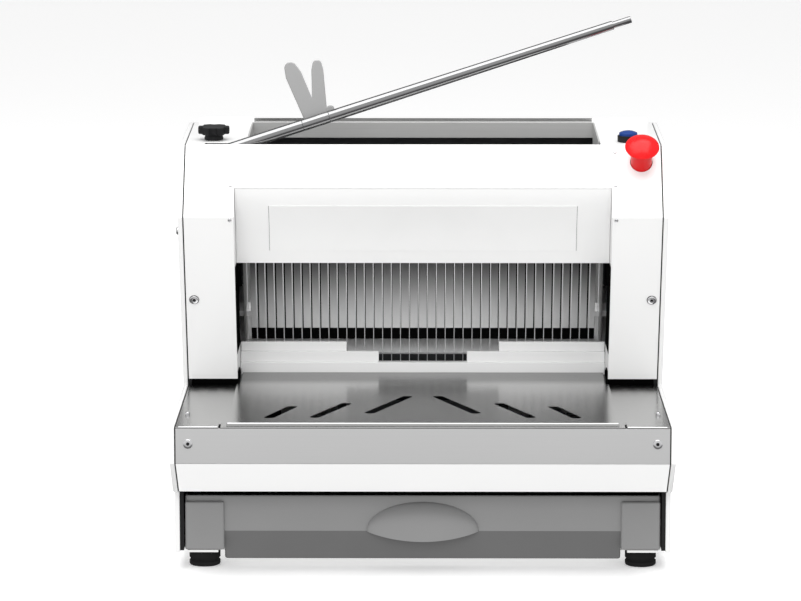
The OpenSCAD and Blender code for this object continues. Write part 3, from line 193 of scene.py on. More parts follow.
def brushed_steel(f, colour):
    grain = f.noise(1.0, 4.0, (9.0, 900.0, 900.0), 0.6)
    hairs = f.noise(1.0, 2.0, (30.0, 2600.0, 2600.0))
    sheen = f.noise(7.0)
    low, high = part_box("rail_lower")
    height = f.along("Z")
    # Painted shade: a strip of the table and crumb plate in front of the lower rail, up to the rail's top, is
    # painted up to 75 % of the way to black, standing in for the shade there.
    front, back, sill, fade = 105 * MM, 55 * MM, 4 * MM, 10 * MM
    painted_rail_shade = f.mask(f.along("Y"), low.y - front, low.y - back)
    above = f.mask(height, low.z - sill, low.z - sill + 1 * MM)
    below = 1.0 - f.mask(height, high.z, high.z + fade)
    steel = f.between(grain, tone(colour, 0.84), tone(colour, 1.1))
    f.set(Base_Color=f.between(0.75 * painted_rail_shade * above * below, steel, (0.0, 0.0, 0.0)), Metallic=1.0,
          Roughness=0.14 + 0.12 * grain + 0.05 * sheen)
    f.bump(grain + hairs, 0.00003, 0.3)


def satin_steel(f, colour):
    grain = f.noise(1.0, 3.0, (14.0, 2400.0, 2400.0), 0.6)
    cloud = f.noise(5.0)
    f.mottled(0.5 * grain + 0.5 * cloud, colour, 0.94, 1.06, Metallic=1.0, Roughness=0.34 + 0.1 * grain)
    f.bump(grain, 0.00002, 0.4)


def slide_steel(f, colour):
    grain = f.noise(1.0, 3.0, (1800.0, 20.0, 1800.0), 0.6)
    wear_and_painted_light = f.noise(16.0, 3.0)
    f.mottled(wear_and_painted_light, colour, 0.93, 1.04, Metallic=0.7, Roughness=0.3 + 0.08 * grain + 0.06 * wear_and_painted_light)
    f.bump(grain, 0.00002, 0.3)


def pusher_steel(f, colour):
    grain = f.noise(1.0, 3.0, (1600.0, 1600.0, 30.0), 0.6)
    stain_and_shade_edge = f.noise(9.0, 3.0)
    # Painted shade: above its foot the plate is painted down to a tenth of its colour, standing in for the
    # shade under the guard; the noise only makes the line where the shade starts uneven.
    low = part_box("pusher")[0]
    wear_and_painted_light = 1.0 - f.mask(f.along("Z") + 12 * MM * stain_and_shade_edge, low.z + 10 * MM, low.z + 115 * MM)
    sheen = f.between(grain, tone(colour, 0.94), tone(colour, 1.05))
    f.set(Base_Color=f.between(wear_and_painted_light, tone(colour, 0.1), sheen), Metallic=0.1, Roughness=0.5 + 0.1 * grain)
    f.bump(grain, 0.00004, 0.4)


def dull_steel(f, colour):
    grain = f.noise(1.0, 4.0, (9.0, 900.0, 900.0), 0.6)
    stain_and_shade_edge = f.noise(8.0, 3.0)
    f.mottled(grain, colour, 0.9, 1.06, Metallic=0.35, Roughness=0.5 + 0.1 * grain + 0.08 * stain_and_shade_edge)
    f.bump(grain, 0.00004, 0.4)


def blade_steel(f, colour):
    grind = f.noise(1.0, 3.0, (1500.0, 1500.0, 22.0), 0.6)
    wear = f.noise(30.0, 3.0)
    f.mottled(grind, colour, 0.9, 1.06, Metallic=0.4, Roughness=0.24 + 0.14 * grind + 0.06 * wear)
    f.bump(grind, 0.00003, 0.4)


def bright_steel(f, colour):
    polish = f.noise(1.0, 3.0, (260.0, 1700.0, 1700.0))
    haze = f.noise(18.0, 3.0)
    f.mottled(haze, colour, 0.94, 1.05, Metallic=1.0, Roughness=0.07 + 0.07 * polish + 0.05 * haze)
    f.bump(polish, 0.00001, 0.3)


def frame_paint(f, colour):
    coat = f.noise(9.0, 3.0)
    peel = f.noise(520.0)
    f.mottled(coat, colour, 0.9, 1.06, Roughness=0.42 + 0.14 * coat, Specular_IOR_Level=0.2)
    f.bump(peel, 0.00008, 0.4)


def cast_metal(f, colour):
    sand = f.noise(420.0, 4.0, rough=0.65)
    stain_and_shade_edge = f.noise(14.0, 4.0)
    f.mottled(stain_and_shade_edge, colour, 0.8, 1.15, Roughness=0.5 + 0.2 * sand, Metallic=0.15)
    f.bump(sand, 0.00025, 0.5)


def satin_aluminium(f, colour):
    blast = f.noise(1400.0)
    cloud = f.noise(20.0, 3.0)
    f.mottled(cloud, colour, 0.93, 1.04, Metallic=0.55, Roughness=0.44 + 0.12 * blast)
    f.bump(blast, 0.00005, 0.4)


def handle_plastic(f, colour):
    grain = f.cells(1100.0)
    shade = f.noise(11.0, 3.0)
    f.mottled(shade, colour, 0.95, 1.05, Roughness=0.46 + 0.12 * shade)
    f.bump(grain, 0.00012, 0.45)


def grey_plastic(f, colour):
    grain = f.cells(1100.0)
    shade = f.noise(11.0, 3.0)
    scuff = f.mask(f.noise(1.0, 3.0, (26.0, 420.0, 420.0)), 0.62, 0.78)
    # Painted shade: below the break and between the end blocks, the drawer's face is painted about half as
    # bright, standing in for the shade on its raked lower part.
    below = 1.0 - f.mask(f.along("Z"), DRAWER_BREAK - 0.3 * MM, DRAWER_BREAK + 0.3 * MM)
    inside = 1.0 - f.mask(f.along("X") ** 2.0, (DRAWER_BAY - 0.5 * MM) ** 2, DRAWER_BAY ** 2)
    upper = f.between(shade, tone(colour, 0.95), tone(colour, 1.05))
    lower = f.between(shade, tone(colour, 0.5), tone(colour, 0.58))
    f.set(Base_Color=f.between(below * inside, upper, lower), Roughness=0.46 + 0.12 * shade - 0.1 * scuff)
    f.bump(grain, 0.00012, 0.45)


def black_plastic(f, colour):
    grain = f.cells(1300.0)
    dust = f.noise(40.0, 4.0)
    f.mottled(dust, colour, 0.8, 1.7, Roughness=0.4 + 0.16 * dust, Specular_IOR_Level=0.2)
    f.bump(grain, 0.0001, 0.4)


def gloss_plastic(f, colour):
    cloud = f.noise(30.0)
    ripple = f.noise(240.0)
    f.mottled(cloud, colour, 0.93, 1.05, Roughness=0.22 + 0.08 * cloud, Specular_IOR_Level=0.25)
    f.bump(ripple, 0.00003, 0.25)


# Painted shade: a flat black with no reflection, for the sheets and strips that stand in for shade in gaps
# and hollows.
def shade_black(f, colour):
    fibre = f.noise(1500.0, 3.0)
    f.mottled(fibre, colour, 0.6, 1.4, Roughness=0.95, Specular_IOR_Level=0.0)
    f.bump(fibre, 0.0001, 0.5)


def rubber(f, colour):
    grain = f.noise(900.0, 3.0)
    dust = f.noise(60.0, 4.0)
    f.mottled(dust, colour, 0.75, 1.9, Roughness=0.68 + 0.2 * dust, Specular_IOR_Level=0.12)
    f.bump(grain, 0.00015, 0.5)


MAKERS = {maker.__name__: maker for maker in (
    brushed_steel, dull_steel, slide_steel, pusher_steel, blade_steel, bright_steel, frame_paint, cast_metal,
    satin_aluminium, grey_plastic, handle_plastic, black_plastic, rubber)}
MAKERS.update(white_paint=white_enamel, bright_paint=white_enamel, apron_steel=satin_steel,
              lever_steel=bright_steel, blade_frame_paint=frame_paint, red_plastic=gloss_plastic,
              blue_plastic=gloss_plastic, lining_felt=shade_black)

# Nodes whose finish differs from the rest of their slot; the lighter white on the rails and the lower apron
# is painted light, and the darker lever steel and the near-black frame paint are painted shade
OWN_FINISH = {node: kind for kind, nodes in {
    "apron_steel": ["front_apron"],
    "dull_steel": ["hopper_liner", "chute_sides"],
    "slide_steel": ["chute_floor"],
    "pusher_steel": ["pusher"],
    "blade_frame_paint": ["front_blade_frame", "rear_blade_frame", "left_frame", "right_frame"],
    "bright_paint": ["rail_lower", "rail_middle", "rail_upper", "lower_apron"],
    "handle_plastic": ["drawer_handle"],
    "lever_steel": ["lever_bar", "paddle_collar"],
}.items() for node in nodes}


def finish(kind):
    """The material of a kind, made once."""
    name = "finish_" + kind
    if name not in bpy.data.materials:
        made = Finish(name)
        MAKERS[kind](made, tuple(getattr(bpy.context.scene.slicer_finishes, kind)))
    return bpy.data.materials[name]


def finish_of(node):
    """The material of a CAD node."""
    return finish(OWN_FINISH.get(node, SLOT_OF[node]))


# Mesh helpers

def merged(node):
    """A copy of a CAD node's mesh with its triangles joined into whole faces."""
    bm = bmesh.new()
    bm.from_mesh(NODES[node].data)
    bmesh.ops.remove_doubles(bm, verts=bm.verts, dist=WELD)
    bmesh.ops.dissolve_limit(bm, angle_limit=FLAT, verts=bm.verts, edges=bm.edges)
    return bm


def round_edges(bm, radius, segments=2, shortest=0.0):
    """Rounds the outer edges that are sharper than the sheet bends and longer than shortest."""
    edges = [e for e in bm.edges if e.is_manifold and e.is_convex
             and e.calc_face_angle() > BEND and e.calc_length() > shortest]
    bmesh.ops.bevel(bm, geom=edges, offset=radius, offset_type="OFFSET", segments=segments, profile=0.5,
                    affect="EDGES", material=-1, clamp_overlap=False)


def as_mesh(name, bm):
    """A bmesh as a mesh; the bmesh is freed."""
    mesh = bpy.data.meshes.new(name)
    bm.to_mesh(mesh)
    bm.free()
    return mesh


def linked(name, data):
    """A new object in the scene."""
    made = bpy.data.objects.new(name, data)
    bpy.context.scene.collection.objects.link(made)
    return made


def place_piece(name, bm, material, body):
    """Makes a bmesh a smooth-shaded piece on a body, with the finish of a slot."""
    for face in bm.faces:
        face.smooth = True
        face.material_index = 0
    for edge in bm.edges:
        edge.smooth = not edge.is_manifold or edge.calc_face_angle() < CREASE
    mesh = as_mesh(name, bm)
    if "custom_normal" in mesh.attributes:
        mesh.attributes.remove(mesh.attributes["custom_normal"])
    mesh.materials.clear()
    mesh.materials.append(material)
    piece = linked(name, mesh)
    normals = piece.modifiers.new("Flat faces", "WEIGHTED_NORMAL")
    normals.keep_sharp = True
    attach(piece, body)
    return piece


def show(name, bm, node):
    """Makes a bmesh the piece that stands for a CAD node, on its body and in its slot."""
    piece = place_piece(name, bm, finish_of(node), BODY_OF[node])
    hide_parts(node)


def trim(name, bm, slot, kind=None, body="machine"):
    """Makes a bmesh a small piece that no CAD node stands for, in its slot's finish or another."""
    place_piece(name, bm, finish(kind or slot), body)


def facing(bm, direction, nearest=0.95):
    """The faces whose normals point along a direction, the largest first."""
    found = [f for f in bm.faces if f.normal.dot(Vector(direction)) > nearest]
    return sorted(found, key=lambda f: -f.calc_area())


def alone(bm, faces):
    """Leaves only these faces in a bmesh."""
    bmesh.ops.delete(bm, geom=[f for f in bm.faces if f not in set(faces)], context="FACES")
    return bm


def clipped(bm, point, outward):
    """Cuts away what lies on the outward side of a plane."""
    bmesh.ops.bisect_plane(bm, geom=[*bm.verts, *bm.edges, *bm.faces], plane_co=point, plane_no=outward,
                           clear_outer=True)


def thickened(bm, offset):
    """Extrudes an open sheet by a vector into a closed piece."""
    made = bmesh.ops.extrude_face_region(bm, geom=list(bm.faces), use_keep_orig=True)
    bmesh.ops.translate(bm, verts=[g for g in made["geom"] if isinstance(g, bmesh.types.BMVert)], vec=offset)
    bmesh.ops.recalc_face_normals(bm, faces=bm.faces)


def pad(node, inward, margin, rise, cuts, largest=None):
    """A thin pad on a node's faces that look inward, set in from their edges and cut by planes."""
    bm = merged(node)
    bm = alone(bm, facing(bm, inward)[:largest])
    made = bmesh.ops.inset_region(bm, faces=list(bm.faces), thickness=margin, use_boundary=True,
                                  use_even_offset=True)
    bmesh.ops.delete(bm, geom=made["faces"], context="FACES")
    for place, outward in cuts:
        clipped(bm, place, outward)
    thickened(bm, rise * Vector(inward))
    return bm


def block(corner, opposite, radius):
    """A box between two corners with its edges rounded."""
    low, high = (Vector(map(end, corner, opposite)) for end in (min, max))
    bm = bmesh.new()
    bmesh.ops.create_cube(bm, size=1.0)
    bmesh.ops.scale(bm, vec=high - low, verts=bm.verts)
    bmesh.ops.translate(bm, vec=(low + high) / 2, verts=bm.verts)
    round_edges(bm, radius)
    return bm


def rounded(node, radius, segments=2, shortest=0.0):
    """A CAD node with its edges rounded."""
    bm = merged(node)
    round_edges(bm, radius, segments, shortest)
    show(node + "_rounded", bm, node)


def islands(bm):
    """The separate shells of a bmesh, each as a list of its vertices."""
    left = set(bm.verts)
    found = []
    while left:
        shell, edge = [], [left.pop()]
        while edge:
            vert = edge.pop()
            shell.append(vert)
            for link in vert.link_edges:
                other = link.other_vert(vert)
                if other in left:
                    left.remove(other)
                    edge.append(other)
        found.append(shell)
    return found


def turn_to(direction):
    """The turn that stands Z along a direction."""
    return Vector((0, 0, 1)).rotation_difference(direction).to_matrix().to_4x4()


def leaning(bm):
    """The turn about X that stands Z along a bmesh's longest edge in the side view."""
    upright = [e for e in bm.edges if abs(e.verts[0].co.x - e.verts[1].co.x) < NEAR]
    long_edge = max(upright, key=lambda e: e.calc_length())
    along = (long_edge.verts[1].co - long_edge.verts[0].co).normalized()
    return turn_to(along if along.z > 0 else -along)


def round_ends(node, outward):
    """Each round shell of a node as the matrix from its base, Z outwards, with its radius and height."""
    def level(face):
        """How far a face looks outwards, and of faces that look the same way, how far out it lies."""
        return round(face.normal.dot(outward), 3), face.calc_center_median().dot(outward)

    bm = merged(node)
    found = []
    for shell in islands(bm):
        faces = {f for v in shell for f in v.link_faces if len(f.verts) > ROUND_FROM}
        top, low = max(faces, key=level), min(faces, key=level)
        centre = low.calc_center_median()
        height = (top.calc_center_median() - centre).length
        radius = max((v.co - top.calc_center_median()).length for v in top.verts)
        found.append((Matrix.Translation(centre) @ turn_to(top.normal), radius, height))
    bm.free()
    return found


def turned(profile, steps):
    """A profile spun about Z, open at its ends."""
    bm = bmesh.new()
    points = [bm.verts.new((r, 0, z)) for r, z in profile]
    lines = [bm.edges.new(pair) for pair in zip(points, points[1:])]
    bmesh.ops.spin(bm, geom=points + lines, axis=(0, 0, 1), cent=(0, 0, 0), angle=2 * math.pi,
                   steps=steps, use_merge=True)
    return bm


def closed(bm, place):
    """Closes a turned shell's ends and puts it in its place."""
    bmesh.ops.holes_fill(bm, edges=[e for e in bm.edges if e.is_boundary], sides=0)
    bmesh.ops.recalc_face_normals(bm, faces=bm.faces)
    bmesh.ops.transform(bm, matrix=place, verts=bm.verts)
    return bm


def spun(profile, steps, place):
    """A turned shell on its own, closed at both ends of its profile."""
    bm = turned(profile, steps)
    bmesh.ops.remove_doubles(bm, verts=bm.verts, dist=WELD)
    return closed(bm, place)


def joined(shells):
    """Several bmeshes as one."""
    whole = bmesh.new()
    for bm in shells:
        mesh = as_mesh("shell", bm)
        whole.from_mesh(mesh)
        bpy.data.meshes.remove(mesh)
    return whole


def quarter(centre_r, centre_z, radius, start, end, steps=5):
    """Points on an arc of a profile, from one angle to another."""
    return [(centre_r + radius * math.cos(math.radians(start + (end - start) * i / steps)),
             centre_z + radius * math.sin(math.radians(start + (end - start) * i / steps)))
            for i in range(steps + 1)]


def socket_head(radius, height, place):
    """A low domed head with a hexagonal socket."""
    rim = 0.48 * radius
    crown = 0.3 * height
    side = [(radius, 0.0), (radius, 0.45 * height), (0.94 * radius, 0.72 * height),
            (0.78 * radius, 0.92 * height), (0.62 * radius, height)]
    bm = turned(side + [(rim, height)], 24)
    inner = [v for v in bm.verts if (v.co.xy.length - rim) ** 2 < (0.02 * radius) ** 2]
    for v in inner:
        angle = math.atan2(v.co.y, v.co.x) % (math.pi / 3) - math.pi / 6
        v.co.xy *= math.cos(math.pi / 6) / math.cos(angle)
    wall = [e for e in bm.edges if e.is_boundary and all(v in inner for v in e.verts)]
    made = bmesh.ops.extrude_edge_only(bm, edges=wall)
    sunk = [v for v in made["geom"] if isinstance(v, bmesh.types.BMVert)]
    bmesh.ops.translate(bm, verts=sunk, vec=(0, 0, crown - height))
    return closed(bm, place)


def drawer_lines():
    """The height of the break across the drawer's face, and half the width between its end blocks."""
    bm = merged("drawer_front")
    raked = facing(bm, DRAWER_RAKE, 0.98)[0]
    lines = (max(v.co.z for v in raked.verts), max(v.co.x for v in raked.verts))
    bm.free()
    return lines


DRAWER_BREAK, DRAWER_BAY = drawer_lines()


# Settings

def length(name, description, default):
    return FloatProperty(name=name, description=description, default=default, min=0.0, unit="LENGTH",
                         subtype="DISTANCE", precision=5)


def fillet(name, of, default):
    return length(name, "Edge radius of the " + of, default)


def colour(name, of, default):
    return FloatVectorProperty(name=name, description="Colour of the " + of, default=default, min=0.0,
                               max=1.0, size=3, subtype="COLOR")


def number(name, description, default, **more):
    return FloatProperty(name=name, description=description, default=default, min=0.0, **more)


class SlicerFinishes(PropertyGroup):
    white_paint: colour("White enamel", "covers and panels", (0.82, 0.82, 0.817))
    # Painted light: a lighter copy of the white enamel for the rails and the lower apron, which get less
    # light than the covers.
    bright_paint: colour("Bright enamel", "rails and the lower apron", (0.97, 0.97, 0.967))
    brushed_steel: colour("Brushed steel", "table and lid", (0.5, 0.5, 0.496))
    apron_steel: colour("Apron steel", "apron under the table", (0.74, 0.74, 0.74))
    dull_steel: colour("Dull steel", "hopper and chute", (0.44, 0.44, 0.435))
    slide_steel: colour("Slide steel", "chute floor", (1.0, 1.0, 1.0))
    # The pusher plate keeps this colour only at its foot; above it, its finish paints shade.
    pusher_steel: colour("Pusher steel", "pusher plate at its foot", (1.0, 1.0, 1.0))
    blade_steel: colour("Blade steel", "ground blades", (0.85, 0.85, 0.86))
    bright_steel: colour("Bright steel", "rods, screws and bolts", (0.6, 0.6, 0.61))
    # Painted shade: a darker copy of the bright steel for the lever and the paddles' collar, standing in for
    # the darker reflections on them.
    lever_steel: colour("Lever steel", "polished lever", (0.27, 0.27, 0.273))
    frame_paint: colour("Frame enamel", "inner frame", (0.1, 0.103, 0.107))
    # Painted shade: a near-black copy of the frame enamel for the side plates and blade frames, standing in
    # for the shade inside the machine seen through the window and the gaps.
    blade_frame_paint: colour("Blade frames", "side plates and blade frames", (0.012, 0.012, 0.0125))
    cast_metal: colour("Cast housing", "motor", (0.2, 0.21, 0.22))
    satin_aluminium: colour("Satin metal", "paddles", (0.4, 0.4, 0.4))
    grey_plastic: colour("Drawer plastic", "drawer's front", (0.235, 0.235, 0.235))
    handle_plastic: colour("Handle plastic", "drawer's handle", (0.245, 0.245, 0.245))
    black_plastic: colour("Black plastic", "knob and bezels", (0.007, 0.007, 0.0075))
    red_plastic: colour("Stop red", "stop button", (0.62, 0.004, 0.006))
    blue_plastic: colour("Start blue", "start button", (0.008, 0.04, 0.2))
    rubber: colour("Foot rubber", "feet", (0.008, 0.008, 0.008))
    # Painted shade: the colour of the black sheets and strips that stand in for shade.
    lining_felt: colour("Lining felt", "linings and seals", (0.004, 0.004, 0.004))


class SlicerEdges(PropertyGroup):
    cover: fillet("Side covers", "side covers", 1.2 * MM)
    sheet: fillet("Sheets", "folded sheets", 0.6 * MM)
    lid: fillet("Lid", "rear lid", 0.3 * MM)
    rail: fillet("Rails", "stepped rail", 0.9 * MM)
    drawer: fillet("Drawer", "drawer's front", 3.0 * MM)
    lever: fillet("Lever", "lever and its hub", 0.6 * MM)
    paddle: fillet("Paddles", "paddles", 1.2 * MM)
    knob: fillet("Knob", "star knob", 1.6 * MM)
    bezel: fillet("Bezels", "buttons' bodies and the inlet", 0.7 * MM)


class SlicerDetails(PropertyGroup):
    tooth_pitch: length("Tooth pitch", "Length of one scallop of a blade", 9.0 * MM)
    tooth_depth: length("Tooth depth", "Depth of a scallop", 1.4 * MM)
    ground: length("Ground edge", "Width of a blade's ground edge", 3.2 * MM)
    pane: length("Pane height", "Height of the pressed pane on the guard", 0.5 * MM)
    pane_half: length("Pane half width", "Half the width of the pressed pane", 200.0 * MM)
    # Painted shade: the seams below are dark strips standing in for the shade lines at the pane's edges.
    seam: length("Pane seams", "Width of the fine seams beside the pane", 0.4 * MM)
    pane_low: length("Pane foot", "Height of the pressed pane's lower edge", 388.0 * MM)
    # Painted shade: the four lengths below place the dark sheets that stand in for shade on the opening's
    # cheeks, in the gaps beside the covers and behind the vents.
    lining: length("Lining", "Thickness of the dark lining on the opening's cheeks", 0.2 * MM)
    lining_set: length("Lining setback", "Width of the white edge that the lining leaves", 2.5 * MM)
    lining_drop: length("Lining drop", "Gap between the side linings and the deck", 6.0 * MM)
    rear_set: length("Vent pad setback", "Gap between the pad behind the vents and its neighbours", 12.0 * MM)
    # Painted shade: the three lengths below shape the black strip under the pusher plate that stands in for
    # the dark gap there.
    wiper: length("Wiper", "Height of the black wiper under the pusher plate", 14.0 * MM)
    wiper_lap: length("Wiper lap", "Depth by which the wiper covers the plate's foot", 0.4 * MM)
    wiper_t: length("Wiper thickness", "Thickness of the wiper", 2.0 * MM)
    # Painted shade: the four lengths below place the black strips under the pillars that stand in for the
    # dark gap there.
    seal_in: length("Seal", "Reach of the black seals inside the pillars", 1.5 * MM)
    seal_up: length("Seal height", "Height of the seals' upturned ends above the table", 19.0 * MM)
    seal_set: length("Seal setback", "Gap between the pillars' faces and the seals", 17.0 * MM)
    seal_deep: length("Seal depth", "Depth of the seals under the pillars", 16.0 * MM)
    lip_h: length("Lip height", "Height of the lip behind the hopper", 4.5 * MM)
    lip_t: length("Lip thickness", "Thickness of the lip behind the hopper", 2.0 * MM)
    lip_set: length("Lip setback", "Gap between the lip's ends and the deck's edges", 6.0 * MM)
    # Painted shade: the width of the thin black strips on the pusher plate at the blades, which stand in for
    # the dark lines there.
    slot: length("Pusher slots", "Width of the slots in the pusher plate", 1.7 * MM)
    tongue: length("Tongues", "Thickness of the base plate's front tongues", 3.2 * MM)
    knob_lift: length("Knob neck", "Rise of the knob's head over its plain solid", 1.5 * MM)
    hem: length("Hems", "Thickness of the hems along the table's front", 3.0 * MM)
    hem_gap: length("Hem gap", "Gap between the hems at the notches", 10.0 * MM)
    # Painted shade: the strip below stands in for the dark gap over the drawer.
    strip: length("Drawer strip", "Thickness of the black strip on the drawer's top", 0.3 * MM)
    # Painted shade: the dark seats below are rings and discs that stand in for shade.
    seat_from: length("Smallest seat", "Radius of the smallest screw head with a dark seat", 4.0 * MM)
    cup_t: length("Cup wall", "Wall of the drawer's cup handle", 3.5 * MM)
    foot_steps: IntProperty(name="Foot sides", description="Facets round a foot", default=48, min=12, max=96)


class SlicerStudio(PropertyGroup):
    sky: number("Sky", "Strength of the white surround above", 0.75)
    ground: number("Ground", "Strength of the surround below", 1.1)
    mirror_low: number("Mirrored ground", "Strength of the ground in reflections", 0.22)
    dip: number("Back", "Share by which reflections dim at the back", 0.65, max=1.0)
    key: number("Top light", "Power of the light above", 95.0, unit="POWER")
    fill: number("Front light", "Power of the soft light in front", 45.0, unit="POWER")
    glow: number("Floor glow", "Light that the white floor gives off", 0.19)
    floor: colour("Floor", "floor", (0.97, 0.97, 0.97))
    eye: FloatVectorProperty(name="Camera", description="Place of the camera", default=(0.0, -5.1315, 1.12),
                             size=3, unit="LENGTH", subtype="TRANSLATION")
    pitch: number("Pitch", "Angle that the camera looks down", math.radians(8.99), unit="ROTATION",
                  subtype="ANGLE")
    yaw: number("Yaw", "Angle that the camera looks to the left", math.radians(0.332), unit="ROTATION",
                subtype="ANGLE")
    lens: number("Lens", "Focal length on a 36 mm wide frame", 175.5, unit="CAMERA")


# Operators

class SLICER_OT_paint(Operator):
    """Gives every CAD node the finish of its slot"""
    bl_idname = "slicer.paint"
    bl_label = "Paint the Frame"

    def execute(self, context):
        for name, node in NODES.items():
            node.data.materials.clear()
            node.data.materials.append(finish_of(name))
        return {"FINISHED"}


class SLICER_OT_covers(Operator):
    """Rounds the side covers and the folded panels, puts black sheets of painted shade inside them and adds
    the lip behind the hopper
    """
    bl_idname = "slicer.covers"
    bl_label = "Covers and Panels"

    def execute(self, context):
        edges, details = context.scene.slicer_edges, context.scene.slicer_details
        for node in ("left_side_cover", "right_side_cover"):
            rounded(node, edges.cover, 3)
        for node in ("front_cover", "top_deck", "rear_cover", "lower_apron"):
            rounded(node, edges.sheet, 2, 2 * edges.sheet)
        self.linings(edges, details)
        self.lip(details)
        return {"FINISHED"}

    def linings(self, edges, details):
        """Painted shade: black pads on the insides of the side covers, standing in for the shade in the gaps,
        and a dark grey one behind the vents for the shade inside.
        """
        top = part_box("front_cover")[1].z - details.lining_drop
        pads = [pad(node, (inward, 0, 0), edges.cover + 0.1 * MM, details.lining, [((0, 0, top), (0, 0, 1))])
                for node, inward in (("left_side_cover", 1), ("right_side_cover", -1))]
        rear = merged("rear_cover")
        inside = facing(rear, (0, -1, 0))[0].calc_center_median().y
        rear.free()
        half, top = (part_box("rear_cover")[1] - Vector((details.rear_set, 0, details.rear_set))).xz
        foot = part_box("power_inlet")[1].z + details.rear_set
        vent = block((-half, inside - details.lining, foot), (half, inside, top), details.lining / 3)
        trim("vent_pad", vent, "frame_paint")
        trim("cover_linings", joined(pads), "rubber", "lining_felt")

    def lip(self, details):
        """The raised lip behind the hopper: steel along the lid, white beside it."""
        lid_low, lid_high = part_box("rear_lid")
        front = lid_low.y
        foot = lid_high.z - details.lip_t
        head = lid_high.z + details.lip_h
        half = lid_high.x
        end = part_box("top_deck")[1].x - details.lip_set
        steel, *white = [block((a, front, foot), (b, front + details.lip_t, head), TRIM_EDGE)
                         for a, b in ((-half, half), (half, end), (-half, -end))]
        trim("lid_lip", steel, "brushed_steel")
        trim("deck_lips", joined(white), "white_paint")


class SLICER_OT_guard(Operator):
    """Makes the bent guard over the blades, with its pressed pane and dark lines of painted shade along the
    pane's sides
    """
    bl_idname = "slicer.guard"
    bl_label = "Guard"

    def execute(self, context):
        rounded("guard_plate", context.scene.slicer_edges.sheet, 2)
        details = context.scene.slicer_details
        half, seam = details.pane_half, details.seam
        trim("guard_pane", self.patch(-half, half, details.pane, details), "white_paint")
        # Painted shade: thin dark strips along the pane's sides stand in for the shade lines at its edges.
        proud = details.pane + 0.05 * MM
        seam_shades = [self.patch(x - seam / 2, x + seam / 2, proud, details) for x in (-half, half)]
        trim("guard_seams", joined(seam_shades), "frame_paint")
        return {"FINISHED"}

    def patch(self, left, right, rise, details):
        """A raised patch of the guard's two lower faces, between two places across."""
        bm = merged("guard_plate")
        forward, sideways = 0.3, 0.1
        outer = [f for f in bm.faces if f.normal.y < -forward and abs(f.normal.x) < sideways]
        bm = alone(bm, sorted(outer, key=lambda f: f.calc_center_median().z)[:2])
        clipped(bm, (left, 0, 0), (-1, 0, 0))
        clipped(bm, (right, 0, 0), (1, 0, 0))
        clipped(bm, (0, 0, details.pane_low), (0, 0, -1))
        bm.normal_update()
        out = sum((f.normal for f in bm.faces), Vector()).normalized()
        thickened(bm, rise * (out if out.y < 0 else -out))
        return bm


class SLICER_OT_opening(Operator):
    """Puts black sheets of painted shade on the opening's cheeks and black strips of painted shade under the
    pillars' feet
    """
    bl_idname = "slicer.opening"
    bl_label = "Linings and Seals"

    def execute(self, context):
        details = context.scene.slicer_details
        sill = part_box("rail_upper")[1].z
        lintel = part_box("guard_plate")[0].z
        cuts = [((0, 0, sill), (0, 0, -1)), ((0, 0, lintel), (0, 0, 1))]
        linings = [pad("front_cover", (-side, 0, 0), details.lining_set, details.lining, cuts, 1)
                   for side in (-1, 1)]
        trim("cheek_linings", joined(linings), "rubber", "lining_felt")
        gap_strips = joined([self.seal(side, details) for side in (-1, 1)])
        trim("pillar_seals", gap_strips, "rubber", "lining_felt")
        return {"FINISHED"}

    def seal(self, side, details):
        """A black strip of painted shade under a pillar, standing in for the dark gap there, turned up at the
        opening.
        """
        cover = merged("front_cover")
        cheek = facing(cover, (-side, 0, 0))[0]
        inner = abs(cheek.calc_center_median().x)
        foot = min(cheek.verts, key=lambda v: (round(v.co.z, 5), v.co.y)).co.copy()
        cover.free()
        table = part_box("delivery_table")[1].z
        outer = abs(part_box("left_frame")[1].x)
        front, edge = foot.y + details.seal_set, 0.2 * MM
        strip = block((side * inner, front, table), (side * outer, front + details.seal_deep, foot.z), edge)
        end = block((side * (inner - details.seal_in), foot.y + details.seal_in, table),
                    (side * inner, front + details.seal_deep, table + details.seal_up), edge)
        return joined([strip, end])


